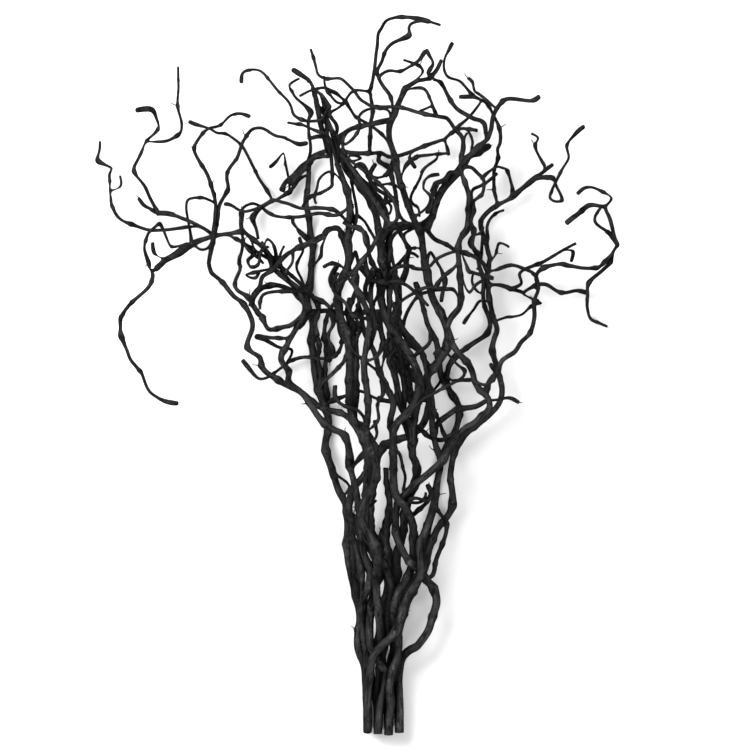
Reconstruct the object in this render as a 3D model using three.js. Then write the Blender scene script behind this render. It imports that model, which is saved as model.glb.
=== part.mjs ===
// A loose bunch of twelve cut curly willow stems, lying on its side.
// The surface it lies on is z = 0, the cut butts are at low y and the twigs point to +y.
// Each stem grew as one piece with its own side branches, so each stem is one solid.
// All sizes are in millimetres.
import * as THREE from "three";

// How finely the stems are laid out.
const STEM_SIDES = 6;
const TWIG_SIDES = 4;
const STEM_STEP = 20;
const TWIG_STEP = 15;
const CLOSEST_STEP = 0.6;

// How the stems lie against each other.
const AIR_GAP = 0.8;
const JOINT_REACH = 20;
const SETTLING_ROUNDS = 420;
const FIRM_ROUNDS = 90;
const NEIGHBOUR_REFRESH = 12;
const NEIGHBOUR_MARGIN = 14;
const STACKING_BIAS = 1.1;
const SPRINGINESS = 0.12;
const HOLD_IN_PLAN = 0.07;

// The corkscrew growth, as waves up and down across the lie of each stem.
const STEM_WAVE = 11;
const STEM_WAVE_LENGTH = 135;
const TWIG_WAVE = 6;
const TWIG_WAVE_LENGTH = 80;
const STRAIGHT_FOOT = 220;

// The ends.
const TIP_ROUNDING = 0.7;
const TIP_LENGTH = 0.9;
const FOOT_OF_BRANCH = 1.25;

// A side branch: thickness along it, how far it climbs from its joint, and its way in plan.
const branch = (girth, climb, way, branches = []) => ({ girth, climb, way, branches });

// ---- The stems, in plan, from butt to tip; girth and height are given at even steps ----

const farRightStem = {
  name: "stem_01",
  girth: [7.4, 6.5, 5.6, 4.9, 4.2, 3.6, 3, 2.6, 4.2],
  height: [41, 96, 120, 130, 130, 115, 85, 60],
  way: [
    [-11, 6], [-11, 57], [-8, 87], [-3, 118], [8, 135], [22, 147], [33, 159], [39, 177],
    [46, 207], [55, 222], [66, 237], [70, 260], [66, 286], [73, 305], [84, 335], [91, 365],
    [94, 387], [99, 410], [94, 432], [88, 452], [94, 471], [112, 486], [127, 494], [150, 497],
    [170, 507], [168, 522], [174, 538], [186, 552], [192, 567], [210, 579], [220, 594],
    [234, 609], [240, 633], [240, 655], [246, 676], [243, 694], [254, 706], [284, 711],
    [309, 706], [333, 706], [345, 714], [358, 728], [365, 740], [360, 756], [354, 780],
    [347, 798], [339, 805], [326, 801], [312, 792], [299, 782], [288, 773],
  ],
  branches: [
    branch([4.9, 4.7, 4.5, 4.3, 4.1, 3.8, 3.4, 3], 34, [
      [89, 450], [86, 470], [87, 490], [85, 512], [80, 536], [76, 560], [68, 584], [54, 600],
      [42, 616], [34, 634], [30, 652],
    ]),
    branch([2.4, 2], 8, [[170, 505], [187, 508], [202, 510], [216, 504]]),
    branch([2.6, 2.3], 16, [
      [362, 747], [351, 760], [337, 769], [331, 778], [334, 788], [340, 796],
    ]),
    branch([2.3, 2], 12, [
      [346, 799], [356, 811], [344, 820], [328, 827], [316, 826], [305, 818],
    ]),
    branch([3.3, 2.9, 2.1], -58, [
      [362, 735], [355, 715], [337, 697], [323, 684], [321, 669], [321, 645], [325, 631],
      [333, 627], [351, 618],
    ]),
  ],
};

const leftTurningStem = {
  name: "stem_02",
  girth: [7.4, 6.5, 5.8, 5.1, 4.6, 3.8, 3.1, 2.6, 2.2],
  height: [41, 60, 88, 108, 112, 90, 62, 70, 92],
  way: [
    [5, 3], [6, 27], [10, 57], [15, 72], [18, 94], [12, 105], [4, 113], [-2, 129], [-7, 147],
    [-8, 177], [-6, 200], [-2, 222], [0, 240], [-3, 262], [-13, 288], [-22, 300], [-28, 315],
    [-39, 345], [-33, 371], [-25, 383], [-5, 407], [0, 421], [0, 436], [-8, 452], [-20, 467],
    [-35, 477], [-52, 488], [-72, 492], [-94, 504], [-110, 518], [-128, 527], [-145, 537],
    [-162, 548], [-171, 560], [-175, 573], [-192, 586], [-186, 609], [-186, 630], [-198, 652],
    [-213, 664], [-230, 685], [-246, 699], [-250, 714], [-246, 740], [-246, 756], [-266, 770],
    [-288, 780], [-308, 787], [-327, 789], [-336, 795], [-339, 812], [-348, 831], [-362, 850],
    [-358, 867], [-351, 882], [-344, 898], [-333, 902], [-327, 914], [-328, 929], [-336, 944],
    [-350, 950], [-357, 944],
  ],
  branches: [
    branch([2.5, 2], 18, [
      [-345, 896], [-327, 896], [-312, 898], [-298, 905], [-291, 915], [-292, 930],
      [-297, 950], [-296, 972], [-296, 1008],
    ]),
    branch([2.4, 2], 4, [[-336, 795], [-348, 801], [-356, 810]]),
    branch([3, 2.7, 2], 55, [
      [-247, 742], [-241, 775], [-240, 805], [-243, 818], [-252, 846], [-268, 873],
      [-272, 886], [-258, 909], [-248, 916], [-232, 921], [-218, 934], [-202, 938], [-188, 933],
    ], [
      branch([2.4, 2], -20, [
        [-240, 803], [-262, 812], [-270, 814], [-279, 810], [-284, 801], [-280, 770], [-276, 742],
      ]),
    ]),
    branch([3.2, 2.9, 2.4], 90, [
      [-249, 722], [-241, 757], [-236, 785], [-233, 803], [-222, 822], [-222, 849],
      [-207, 872], [-200, 892], [-184, 914], [-171, 916], [-148, 904], [-135, 901],
      [-117, 893], [-103, 892],
    ]),
    branch([2.9, 2.4, 2], -40, [
      [-262, 768], [-280, 768], [-300, 765], [-337, 763], [-367, 772], [-385, 781],
      [-396, 799], [-393, 807], [-399, 823], [-395, 830], [-400, 849], [-399, 858],
      [-417, 867], [-420, 874], [-416, 882], [-421, 892], [-415, 897],
    ], [
      branch([2, 1.9], 3, [[-396, 828], [-384, 829], [-380, 837], [-384, 845]]),
    ]),
  ],
};

const centreStem = {
  name: "stem_03",
  girth: [7.4, 6.7, 6.2, 6, 6, 6, 4.7, 2.8],
  height: [41, 60, 95, 150, 205, 235, 255, 250],
  way: [
    [21, 2], [22, 27], [24, 50], [22, 72], [27, 102], [33, 117], [36, 140], [33, 162],
    [28, 184], [32, 207], [38, 222], [50, 240], [57, 264], [58, 297], [56, 324], [45, 348],
    [32, 364], [28, 387], [28, 417], [27, 447], [28, 464], [36, 476],
    [48, 487], [58, 499], [64, 514], [66, 532], [63, 551], [56, 568], [46, 584], [34, 600],
    [24, 614], [17, 632], [10, 657], [14, 687], [10, 717], [8, 747],
    [4, 774], [-4, 800], [-21, 824], [-38, 846], [-50, 867], [-56, 885], [-52, 898],
    [-40, 910], [-22, 916], [0, 920], [20, 926],
  ],
  branches: [
    branch([4.6, 4.2, 3.8, 3.4, 2.8], 24, [
      [16, 634], [22, 652], [20, 672], [22, 694], [20, 714], [24, 734],
    ]),
    branch([4.4, 4.2, 3.8, 3.4, 3], 22, [
      [8, 742], [16, 762], [18, 782], [12, 800], [2, 814], [-8, 826], [-20, 838], [-30, 850],
    ]),
    branch([2.6, 2.1], 14, [[8, 742], [-2, 752], [-8, 762], [-16, 775], [-27, 783]]),
    branch([3.7, 3.3, 2.6], 24, [
      [-42, 853], [-26, 858], [-16, 856], [-10, 843], [-4, 830], [6, 820], [20, 812], [34, 802],
    ]),
    branch([3, 2.8, 2.2], 18, [
      [13, 693], [28, 702], [45, 708], [68, 703], [82, 707], [93, 718], [112, 727],
      [126, 728], [142, 722],
    ]),
    branch([2.8, 2.2], 16, [[38, 350], [52, 354], [64, 352], [75, 357], [78, 368]]),
    branch([5.3, 5.1, 4.7, 4.2, 3.7, 3.1], 34, [
      [27, 452], [24, 480], [28, 500], [22, 518], [14, 534], [6, 552], [2, 570], [-4, 586],
      [-12, 600], [-18, 616], [-20, 634], [-26, 650],
    ], [
      branch([2.8, 2.4, 2.1], 14, [[6, 556], [14, 572], [15, 588], [22, 600]]),
    ]),
    branch([2.8, 2.6, 2.2, 2], 26, [
      [60, 504], [72, 508], [86, 516], [104, 526], [120, 534], [132, 542], [134, 552],
      [122, 562], [108, 578], [98, 584], [88, 576],
    ]),
    branch([3.3, 2.9, 2.6], -30, [[58, 560], [64, 578], [78, 588], [84, 602], [80, 618]]),
    branch([2.8, 2.4], -26, [[40, 594], [30, 584], [20, 566], [27, 548], [33, 530]]),
  ],
};

const bigArcStem = {
  name: "stem_04",
  girth: [7.4, 6.5, 5.6, 5.3, 4.9, 4.7, 4.2, 3.3, 2.6, 2.1],
  height: [41, 58, 95, 160, 215, 245, 280, 300, 300, 285],
  way: [
    [37, 5], [37, 57], [36, 87], [39, 112], [50, 128], [62, 135], [70, 144], [80, 159],
    [87, 180], [93, 204], [87, 225], [78, 236], [68, 249], [52, 264], [40, 285], [33, 309],
    [32, 334], [36, 354], [46, 366], [60, 380], [75, 392], [90, 405], [102, 417], [112, 435],
    [124, 452], [136, 465], [148, 472], [160, 482], [172, 496], [168, 512], [158, 522],
    [150, 534], [146, 549], [138, 564], [124, 579], [112, 597], [108, 612], [114, 630],
    [126, 645], [129, 662], [128, 687], [126, 710], [124, 732], [129, 750], [138, 765],
    [140, 792], [140, 814], [134, 834], [128, 852], [130, 874], [132, 890], [129, 902],
    [120, 912], [110, 926], [98, 930], [75, 934], [60, 938], [40, 944], [22, 945], [0, 945],
    [-12, 950], [-22, 957], [-30, 968], [-40, 978], [-52, 987], [-70, 987], [-84, 993],
    [-88, 1005], [-92, 1020], [-96, 1032],
  ],
  branches: [
    branch([3.8, 3.3, 2.6], -38, [
      [79, 234], [88, 245], [91, 260], [95, 273], [102, 290], [107, 305], [108, 320],
      [101, 332], [94, 341], [88, 352],
    ]),
    branch([3.1, 2.6, 2], -30, [
      [129, 857], [143, 855], [154, 846], [162, 837], [163, 825], [159, 813], [148, 804],
      [148, 789], [144, 774], [149, 762], [147, 747], [146, 736], [154, 729], [158, 714], [153, 702],
    ]),
    branch([3.2, 2.8, 2.2], 20, [
      [127, 668], [118, 672], [105, 673], [85, 676], [68, 672], [50, 662], [36, 650], [28, 630],
    ]),
    branch([2.8, 2.3], 16, [[128, 666], [140, 669], [148, 676], [158, 684], [172, 692]]),
    branch([3.2, 2.9, 2.4], 24, [[126, 705], [115, 702], [104, 694], [96, 684], [90, 674]]),
    branch([2.8, 2.4], -24, [[127, 701], [145, 698], [160, 694], [176, 690]]),
    branch([2.4, 2], 12, [[128, 874], [134, 884], [133, 896], [138, 906]]),
    branch([2.8, 2.2], 20, [[150, 534], [164, 530], [176, 536], [180, 548], [174, 560]]),
  ],
};

const hookedTopStem = {
  name: "stem_05",
  girth: [7.3, 6.5, 6, 5.6, 5.5, 5.6, 6, 5.5, 3.8, 2.9],
  height: [8, 18, 36, 52, 66, 84, 100, 118, 128, 122],
  way: [
    [5, 10], [4, 42], [-2, 72], [-6, 94], [-4, 117], [3, 140], [8, 162], [8, 189], [16, 210],
    [20, 230], [15, 252], [8, 274], [4, 290], [-4, 306], [-7, 325], [-7, 345], [-5, 365],
    [-1, 385], [2, 403], [4, 421], [15, 440], [33, 447], [52, 453], [68, 465], [78, 483], [82, 502],
    [76, 522], [63, 540], [46, 555], [32, 573], [24, 594], [26, 618], [33, 639], [36, 661],
    [32, 684], [22, 702], [14, 720], [9, 740], [15, 758], [27, 768], [44, 771], [62, 768],
    [77, 765], [86, 782], [93, 807], [108, 830], [124, 850], [140, 870], [156, 886],
    [170, 900], [174, 916], [177, 932], [183, 945], [192, 956], [204, 960], [222, 958],
    [237, 957], [248, 963],
  ],
  branches: [
    branch([4, 3.5, 2.6], 22, [
      [171, 906], [162, 925], [150, 929], [138, 935], [124, 944], [114, 957], [106, 972],
      [99, 984], [88, 989],
    ]),
    branch([3.7, 3.2, 2.8], 22, [
      [125, 851], [112, 848], [104, 838], [92, 832], [87, 815], [84, 800], [80, 788],
    ]),
    branch([3.7, 3.1, 2.6], -24, [
      [74, 766], [84, 755], [93, 747], [108, 741], [122, 732], [136, 729], [154, 720],
      [165, 711], [171, 697],
    ]),
    branch([3.7, 3.3, 2.8], -18, [[42, 771], [36, 786], [33, 803], [30, 825], [25, 846], [28, 862]]),
    branch([4, 3.7], -8, [[146, 875], [160, 881], [171, 889]]),
    branch([2.4, 2], 8, [
      [182, 943], [174, 952], [168, 958], [158, 966], [150, 972], [147, 984], [141, 992],
    ]),
    branch([3.1, 2.6, 2.1], 22, [[78, 518], [82, 540], [76, 567], [60, 588], [46, 604], [38, 624]]),
    branch([5.1, 4.9, 4.6, 3.7], 26, [
      [8, 266], [11, 297], [17, 320], [21, 340], [22, 360], [18, 382], [17, 404],
    ]),
    branch([2.8, 2.4, 2.2], 16, [[22, 444], [38, 424], [42, 406], [46, 390], [44, 372], [50, 360]]),
    branch([3.3, 2.9, 2.6], -20, [
      [80, 505], [86, 498], [92, 486], [98, 472], [104, 456], [108, 442],
    ]),
    branch([3.5, 3.1, 2.8], -14, [
      [30, 768], [21, 754], [19, 738], [20, 720], [18, 702], [22, 688],
    ]),
    branch([2.9, 2.8, 2.4], 20, [
      [50, 771], [38, 762], [26, 750], [24, 735], [27, 716], [31, 700], [35, 684],
    ]),
    branch([2.4, 2.2], -24, [
      [58, 769], [44, 756], [47, 744], [54, 734], [50, 722], [48, 704], [42, 684],
    ]),
    branch([2.8, 2.2], 10, [[22, 700], [36, 712], [46, 724], [56, 728], [66, 722]]),
  ],
};

const brokenTopStem = {
  name: "stem_06",
  girth: [7.4, 6.7, 6.2, 6, 6, 6, 5.5, 4.9, 4.6, 2.9],
  height: [24, 46, 80, 115, 140, 155, 170, 185, 195, 200],
  way: [
    [37, 9], [36, 57], [32, 87], [32, 117], [28, 140], [24, 170], [24, 200], [30, 225],
    [34, 245], [33, 267], [38, 292], [42, 312], [44, 334], [50, 357], [60, 380], [63, 405],
    [57, 424], [54, 447], [54, 470], [60, 492], [66, 514], [75, 537], [88, 555], [102, 574],
    [111, 594], [108, 616], [98, 640], [87, 660], [81, 684], [75, 705], [72, 734], [68, 759],
    [57, 782], [46, 810], [36, 842], [30, 870], [22, 896], [22, 916], [30, 939], [38, 957],
    [46, 975], [64, 986], [82, 989], [92, 1001], [100, 1017],
  ],
  branches: [
    branch([5.4, 5.2, 5, 4.6, 4.2], 16, [
      [45, 465], [38, 500], [33, 530], [26, 560], [16, 585], [9, 612], [5, 642],
    ]),
    branch([5.6, 5.4, 5, 4.6, 4], -20, [
      [55, 477], [54, 507], [51, 537], [46, 564], [39, 590], [33, 620],
    ]),
    branch([5.6, 5.4, 5.2, 5, 4.6], -14, [
      [31, 234], [26, 255], [20, 279], [17, 302], [20, 324], [24, 345],
    ]),
    branch([3.2, 2.9, 2.5, 2.1], 26, [
      [34, 946], [24, 960], [14, 975], [6, 990], [4, 1001], [10, 1013], [14, 1025],
      [20, 1035], [30, 1043], [50, 1052], [51, 1063], [56, 1071], [68, 1074], [82, 1073], [98, 1068],
    ], [
      branch([2.6, 2.2], 20, [
        [8, 985], [14, 997], [24, 1000], [38, 999], [52, 1006], [66, 1015], [75, 1029],
      ]),
    ]),
    branch([2.7, 2.2], 12, [[73, 988], [80, 998], [87, 1010], [83, 1022], [77, 1032]]),
    branch([2.4, 2], 22, [[80, 988], [72, 999], [66, 1008], [60, 1013], [44, 1016]]),
    branch([2.9, 2.6, 2.3], -18, [[68, 987], [75, 972], [82, 960], [87, 948], [92, 933]], [
      branch([2.1, 1.9], 5, [[86, 950], [75, 943], [64, 938]]),
    ]),
    branch([2.7, 2.3, 2], 16, [
      [22, 902], [-8, 920], [-26, 930], [-34, 939], [-44, 954], [-63, 970], [-75, 975],
      [-99, 970], [-112, 963],
    ], [
      branch([2.1, 1.9], 12, [
        [-42, 951], [-56, 953], [-63, 957], [-70, 968], [-75, 981], [-76, 993],
      ]),
    ]),
    branch([3.2, 2.8, 2.2], -14, [
      [33, 856], [47, 858], [53, 864], [62, 871], [78, 874], [93, 876], [105, 878], [112, 877],
    ], [
      branch([2.5, 2], -20, [
        [92, 876], [91, 867], [75, 855], [68, 840], [60, 825], [54, 810], [58, 801],
        [65, 795], [67, 782],
      ]),
    ]),
    branch([2.5, 2], 20, [
      [62, 772], [74, 792], [82, 803], [82, 815], [73, 824], [75, 836], [84, 843], [96, 846],
    ]),
    branch([2.7, 2.3, 2], 14, [[71, 740], [60, 735], [50, 733], [44, 746], [36, 762]], [
      branch([2.4, 2.1], 6, [[52, 733], [45, 716], [45, 702], [39, 684]]),
    ]),
    branch([2.8, 2.4, 2], 18, [
      [72, 732], [84, 728], [92, 716], [100, 702], [105, 687], [102, 672], [100, 655],
    ]),
    branch([4, 3.5, 2.9, 2.4], 24, [
      [54, 458], [43, 480], [45, 507], [41, 552], [38, 597], [42, 620], [52, 645], [64, 662],
      [80, 669], [105, 674],
    ]),
    branch([3.7, 3.5, 3.3, 2.9], 22, [
      [44, 326], [56, 334], [68, 345], [78, 356], [84, 368], [79, 380],
    ], [
      branch([2.6, 2.3], 4, [[76, 352], [64, 360], [52, 358]]),
    ]),
    branch([4.4, 4.2, 3.7, 2.9], -26, [
      [54, 466], [64, 467], [75, 457], [88, 449], [100, 447], [112, 452], [122, 462],
    ]),
    branch([4, 3.7, 3.1], -30, [
      [56, 480], [45, 488], [42, 504], [46, 522], [43, 542], [36, 558],
    ]),
    branch([2.4, 2.1], 8, [[33, 854], [16, 844], [4, 840], [-6, 846], [-8, 856], [0, 860]]),
    branch([2.3, 2], -10, [[36, 838], [18, 831], [6, 829], [-4, 834]]),
  ],
};

const lowUprightStem = {
  name: "stem_07",
  girth: [7.3, 6.4, 5.6, 5.5, 5.5, 5.3, 4.7, 3.8, 3.1, 2.8],
  height: [8, 16, 28, 26, 18, 22, 16, 28, 42, 30],
  way: [
    [-11, 8], [-11, 57], [-12, 84], [-15, 106], [-22, 122], [-26, 140], [-24, 160],
    [-22, 180], [-25, 207], [-32, 235], [-39, 262], [-42, 290], [-41, 315], [-42, 340],
    [-47, 357], [-55, 372], [-61, 392], [-68, 412], [-74, 430], [-74, 447], [-70, 465],
    [-71, 482], [-77, 500], [-86, 524],
    [-90, 552], [-92, 574], [-96, 597], [-94, 620], [-100, 642], [-106, 663], [-100, 687],
    [-96, 714], [-94, 740], [-98, 762], [-100, 785], [-104, 802], [-102, 822], [-100, 845],
    [-100, 862], [-92, 876], [-76, 882], [-60, 885], [-38, 880], [-8, 879], [8, 880],
    [22, 874], [38, 876], [56, 882], [75, 890], [92, 896], [105, 900], [116, 910],
    [128, 916], [141, 916], [155, 914],
  ],
  branches: [
    branch([3.8, 3.4, 3, 2.6], 14, [[-85, 520], [-82, 545], [-86, 566], [-84, 590], [-88, 612]]),
    branch([2.8, 2.5, 2.3, 2.1], 64, [
      [-76, 498], [-64, 506], [-45, 513], [-20, 520], [-4, 512], [20, 505], [40, 504],
    ]),
    branch([3.3, 2.9, 2.6, 2.2], 50, [
      [-6, 879], [-7, 904], [-6, 927], [-3, 942], [-5, 957], [-8, 972], [-3, 990], [0, 1010],
      [2, 1029], [4, 1044], [5, 1058], [10, 1067], [16, 1077], [26, 1082], [39, 1084],
      [60, 1082], [81, 1077],
    ], [
      branch([2.5, 2], 14, [
        [-8, 972], [-26, 974], [-38, 968], [-46, 956], [-57, 946], [-68, 939], [-80, 924],
      ]),
    ]),
    branch([2.3, 2], -8, [[146, 915], [147, 900], [145, 893], [149, 884], [145, 876]]),
    branch([4.2, 4, 3.7], 14, [[-95, 872], [-108, 862], [-120, 848], [-134, 836], [-141, 822]]),
    branch([3.2, 2.8, 2.4], 20, [
      [-99, 850], [-112, 842], [-128, 822], [-142, 813], [-154, 807], [-170, 798],
      [-184, 783], [-180, 768], [-176, 750],
    ], [
      branch([2.7, 2.3, 2], 28, [
        [-152, 808], [-162, 822], [-174, 840], [-186, 864], [-202, 892], [-226, 909],
        [-238, 910], [-249, 916], [-268, 922], [-276, 930], [-280, 927],
      ]),
      branch([2, 1.9], 12, [
        [-127, 823], [-131, 846], [-135, 866], [-138, 879], [-148, 868], [-158, 858],
      ]),
    ]),
    branch([2.3, 2], 8, [[-96, 742], [-111, 759], [-116, 766], [-123, 774], [-124, 785]]),
    branch([2.4, 2], 18, [
      [-104, 672], [-111, 690], [-117, 702], [-117, 714], [-109, 730], [-110, 741], [-114, 752],
    ]),
    branch([2.7, 2.3, 2], 36, [
      [-90, 874], [-97, 890], [-99, 905], [-100, 930], [-97, 942], [-102, 948], [-111, 956],
      [-120, 964], [-126, 974], [-128, 983], [-124, 990], [-114, 992],
    ]),
    branch([2.7, 2.3, 2], 24, [
      [-95, 585], [-105, 572], [-124, 567], [-142, 555], [-162, 541], [-174, 539],
      [-186, 550], [-199, 566],
    ]),
    branch([3.7, 3.3, 2.8], 28, [
      [-73, 462], [-74, 492], [-74, 522], [-75, 552], [-73, 582], [-76, 612], [-70, 639],
      [-58, 660], [-62, 680], [-56, 699],
    ]),
    branch([4.6, 4.4, 4.2, 3.5], 22, [
      [-24, 196], [-26, 222], [-30, 245], [-33, 268], [-33, 292], [-34, 314], [-30, 332],
    ], [
      branch([2.9, 2.6], 8, [[-30, 242], [-20, 232], [-12, 226]]),
    ]),
    branch([2.4, 2], 12, [[-60, 388], [-44, 384], [-38, 374], [-48, 362]]),
    branch([4.2, 3.8, 3.3], -12, [[2, 879], [6, 868], [16, 862], [27, 855]], [
      branch([3.1, 2.8], -4, [[10, 866], [-4, 864], [-14, 856], [-18, 844]]),
    ]),
    branch([2.1, 2], 10, [[56, 882], [53, 872], [60, 858]]),
    branch([2.3, 2], -6, [[103, 899], [108, 893], [109, 885], [112, 877]]),
  ],
};

const farLeftStem = {
  name: "stem_08",
  girth: [7.3, 6.4, 5.6, 5.1, 4.9, 4.6, 4, 3.5, 3.1, 2.8, 2.2],
  height: [24, 44, 75, 110, 142, 165, 185, 190, 175, 150, 125],
  way: [
    [-11, 11], [-11, 60], [-11, 100], [-12, 125], [-14, 150], [-17, 172], [-18, 195],
    [-15, 213], [-9, 226], [-3, 240], [-4, 258], [-14, 278], [-20, 300], [-22, 327], [-26, 357],
    [-30, 380], [-37, 407], [-39, 432], [-45, 453], [-60, 462], [-75, 471], [-88, 487],
    [-99, 504], [-112, 520], [-129, 535], [-129, 550], [-140, 566], [-136, 582], [-128, 598],
    [-117, 616], [-108, 632], [-106, 651], [-114, 669], [-128, 684], [-142, 695], [-154, 705],
    [-159, 723], [-168, 737], [-184, 749], [-198, 760], [-218, 756], [-240, 753], [-270, 742],
    [-292, 730], [-315, 717], [-333, 700], [-334, 687], [-342, 673], [-364, 654], [-380, 633],
    [-382, 619], [-381, 604], [-372, 582], [-366, 567], [-352, 550], [-340, 522], [-330, 513],
    [-315, 505], [-297, 502],
  ],
  branches: [
    branch([4.6, 4.4, 4.2, 3.8], -12, [
      [-21, 219], [-18, 240], [-22, 260], [-27, 282], [-31, 305],
    ]),
    branch([2.4, 2.2, 2], 14, [[-206, 684], [-192, 694], [-180, 690], [-172, 700]]),
    branch([2.6, 2.3, 2], 16, [[-168, 737], [-161, 748], [-152, 738], [-150, 722], [-154, 708]]),
    branch([2.6, 2], 16, [
      [-333, 697], [-339, 712], [-345, 733], [-339, 757], [-330, 766], [-322, 771],
      [-310, 745], [-304, 737], [-281, 741],
    ]),
    branch([2.2, 2], 12, [[-272, 742], [-262, 733], [-250, 735], [-242, 750], [-240, 772]]),
    branch([4, 3.7, 3.1], -24, [
      [-107, 656], [-121, 669], [-140, 678], [-158, 679], [-172, 673], [-182, 662],
      [-183, 650], [-176, 638], [-166, 630],
    ]),
    branch([2.9, 2.6, 2.2], 12, [
      [-120, 676], [-138, 670], [-155, 669], [-168, 664], [-172, 653], [-172, 643],
    ]),
    branch([3.7, 3.3, 2.9, 2.2], -30, [
      [-112, 626], [-124, 621], [-134, 617], [-146, 614], [-160, 614], [-168, 629],
      [-178, 643], [-190, 661], [-204, 670], [-210, 681], [-202, 705], [-204, 714],
      [-200, 729], [-198, 746], [-201, 770], [-199, 790],
    ]),
    branch([2.8, 2.3], -20, [
      [-156, 614], [-176, 602], [-166, 598], [-158, 595], [-148, 588], [-124, 580], [-132, 562],
    ]),
    branch([2.2, 2], 8, [[-318, 716], [-330, 727], [-334, 742]]),
    branch([2.4, 2], 12, [[-38, 412], [-40, 404], [-22, 420], [-8, 436], [2, 452], [0, 476]]),
    branch([2.6, 2.2], 14, [[-26, 345], [-12, 344], [-4, 348], [2, 356]]),
    branch([2.4, 2], 14, [[-128, 684], [-140, 706], [-142, 722], [-136, 738]]),
    branch([4, 3.7, 3.1], -40, [
      [-110, 628], [-94, 638], [-72, 641], [-50, 638], [-30, 636], [-12, 640],
    ]),
    branch([3.5, 3.1, 2.6], -20, [
      [-106, 650], [-94, 662], [-80, 656], [-67, 645], [-57, 630], [-52, 612], [-46, 596],
    ]),
    branch([3.3, 2.9, 2.4], 16, [
      [-112, 664], [-97, 668], [-88, 656], [-84, 640], [-90, 622], [-86, 604],
    ]),
    branch([2.6, 2.2], 20, [
      [-176, 741], [-181, 727], [-190, 716], [-185, 706], [-174, 712], [-172, 728], [-160, 738],
    ]),
    branch([2.4, 2], 14, [[-190, 756], [-196, 742], [-188, 730], [-176, 722], [-166, 712]]),
    branch([2.8, 2.4], 14, [[-150, 702], [-152, 716], [-162, 732], [-170, 744]]),
  ],
};

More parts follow.
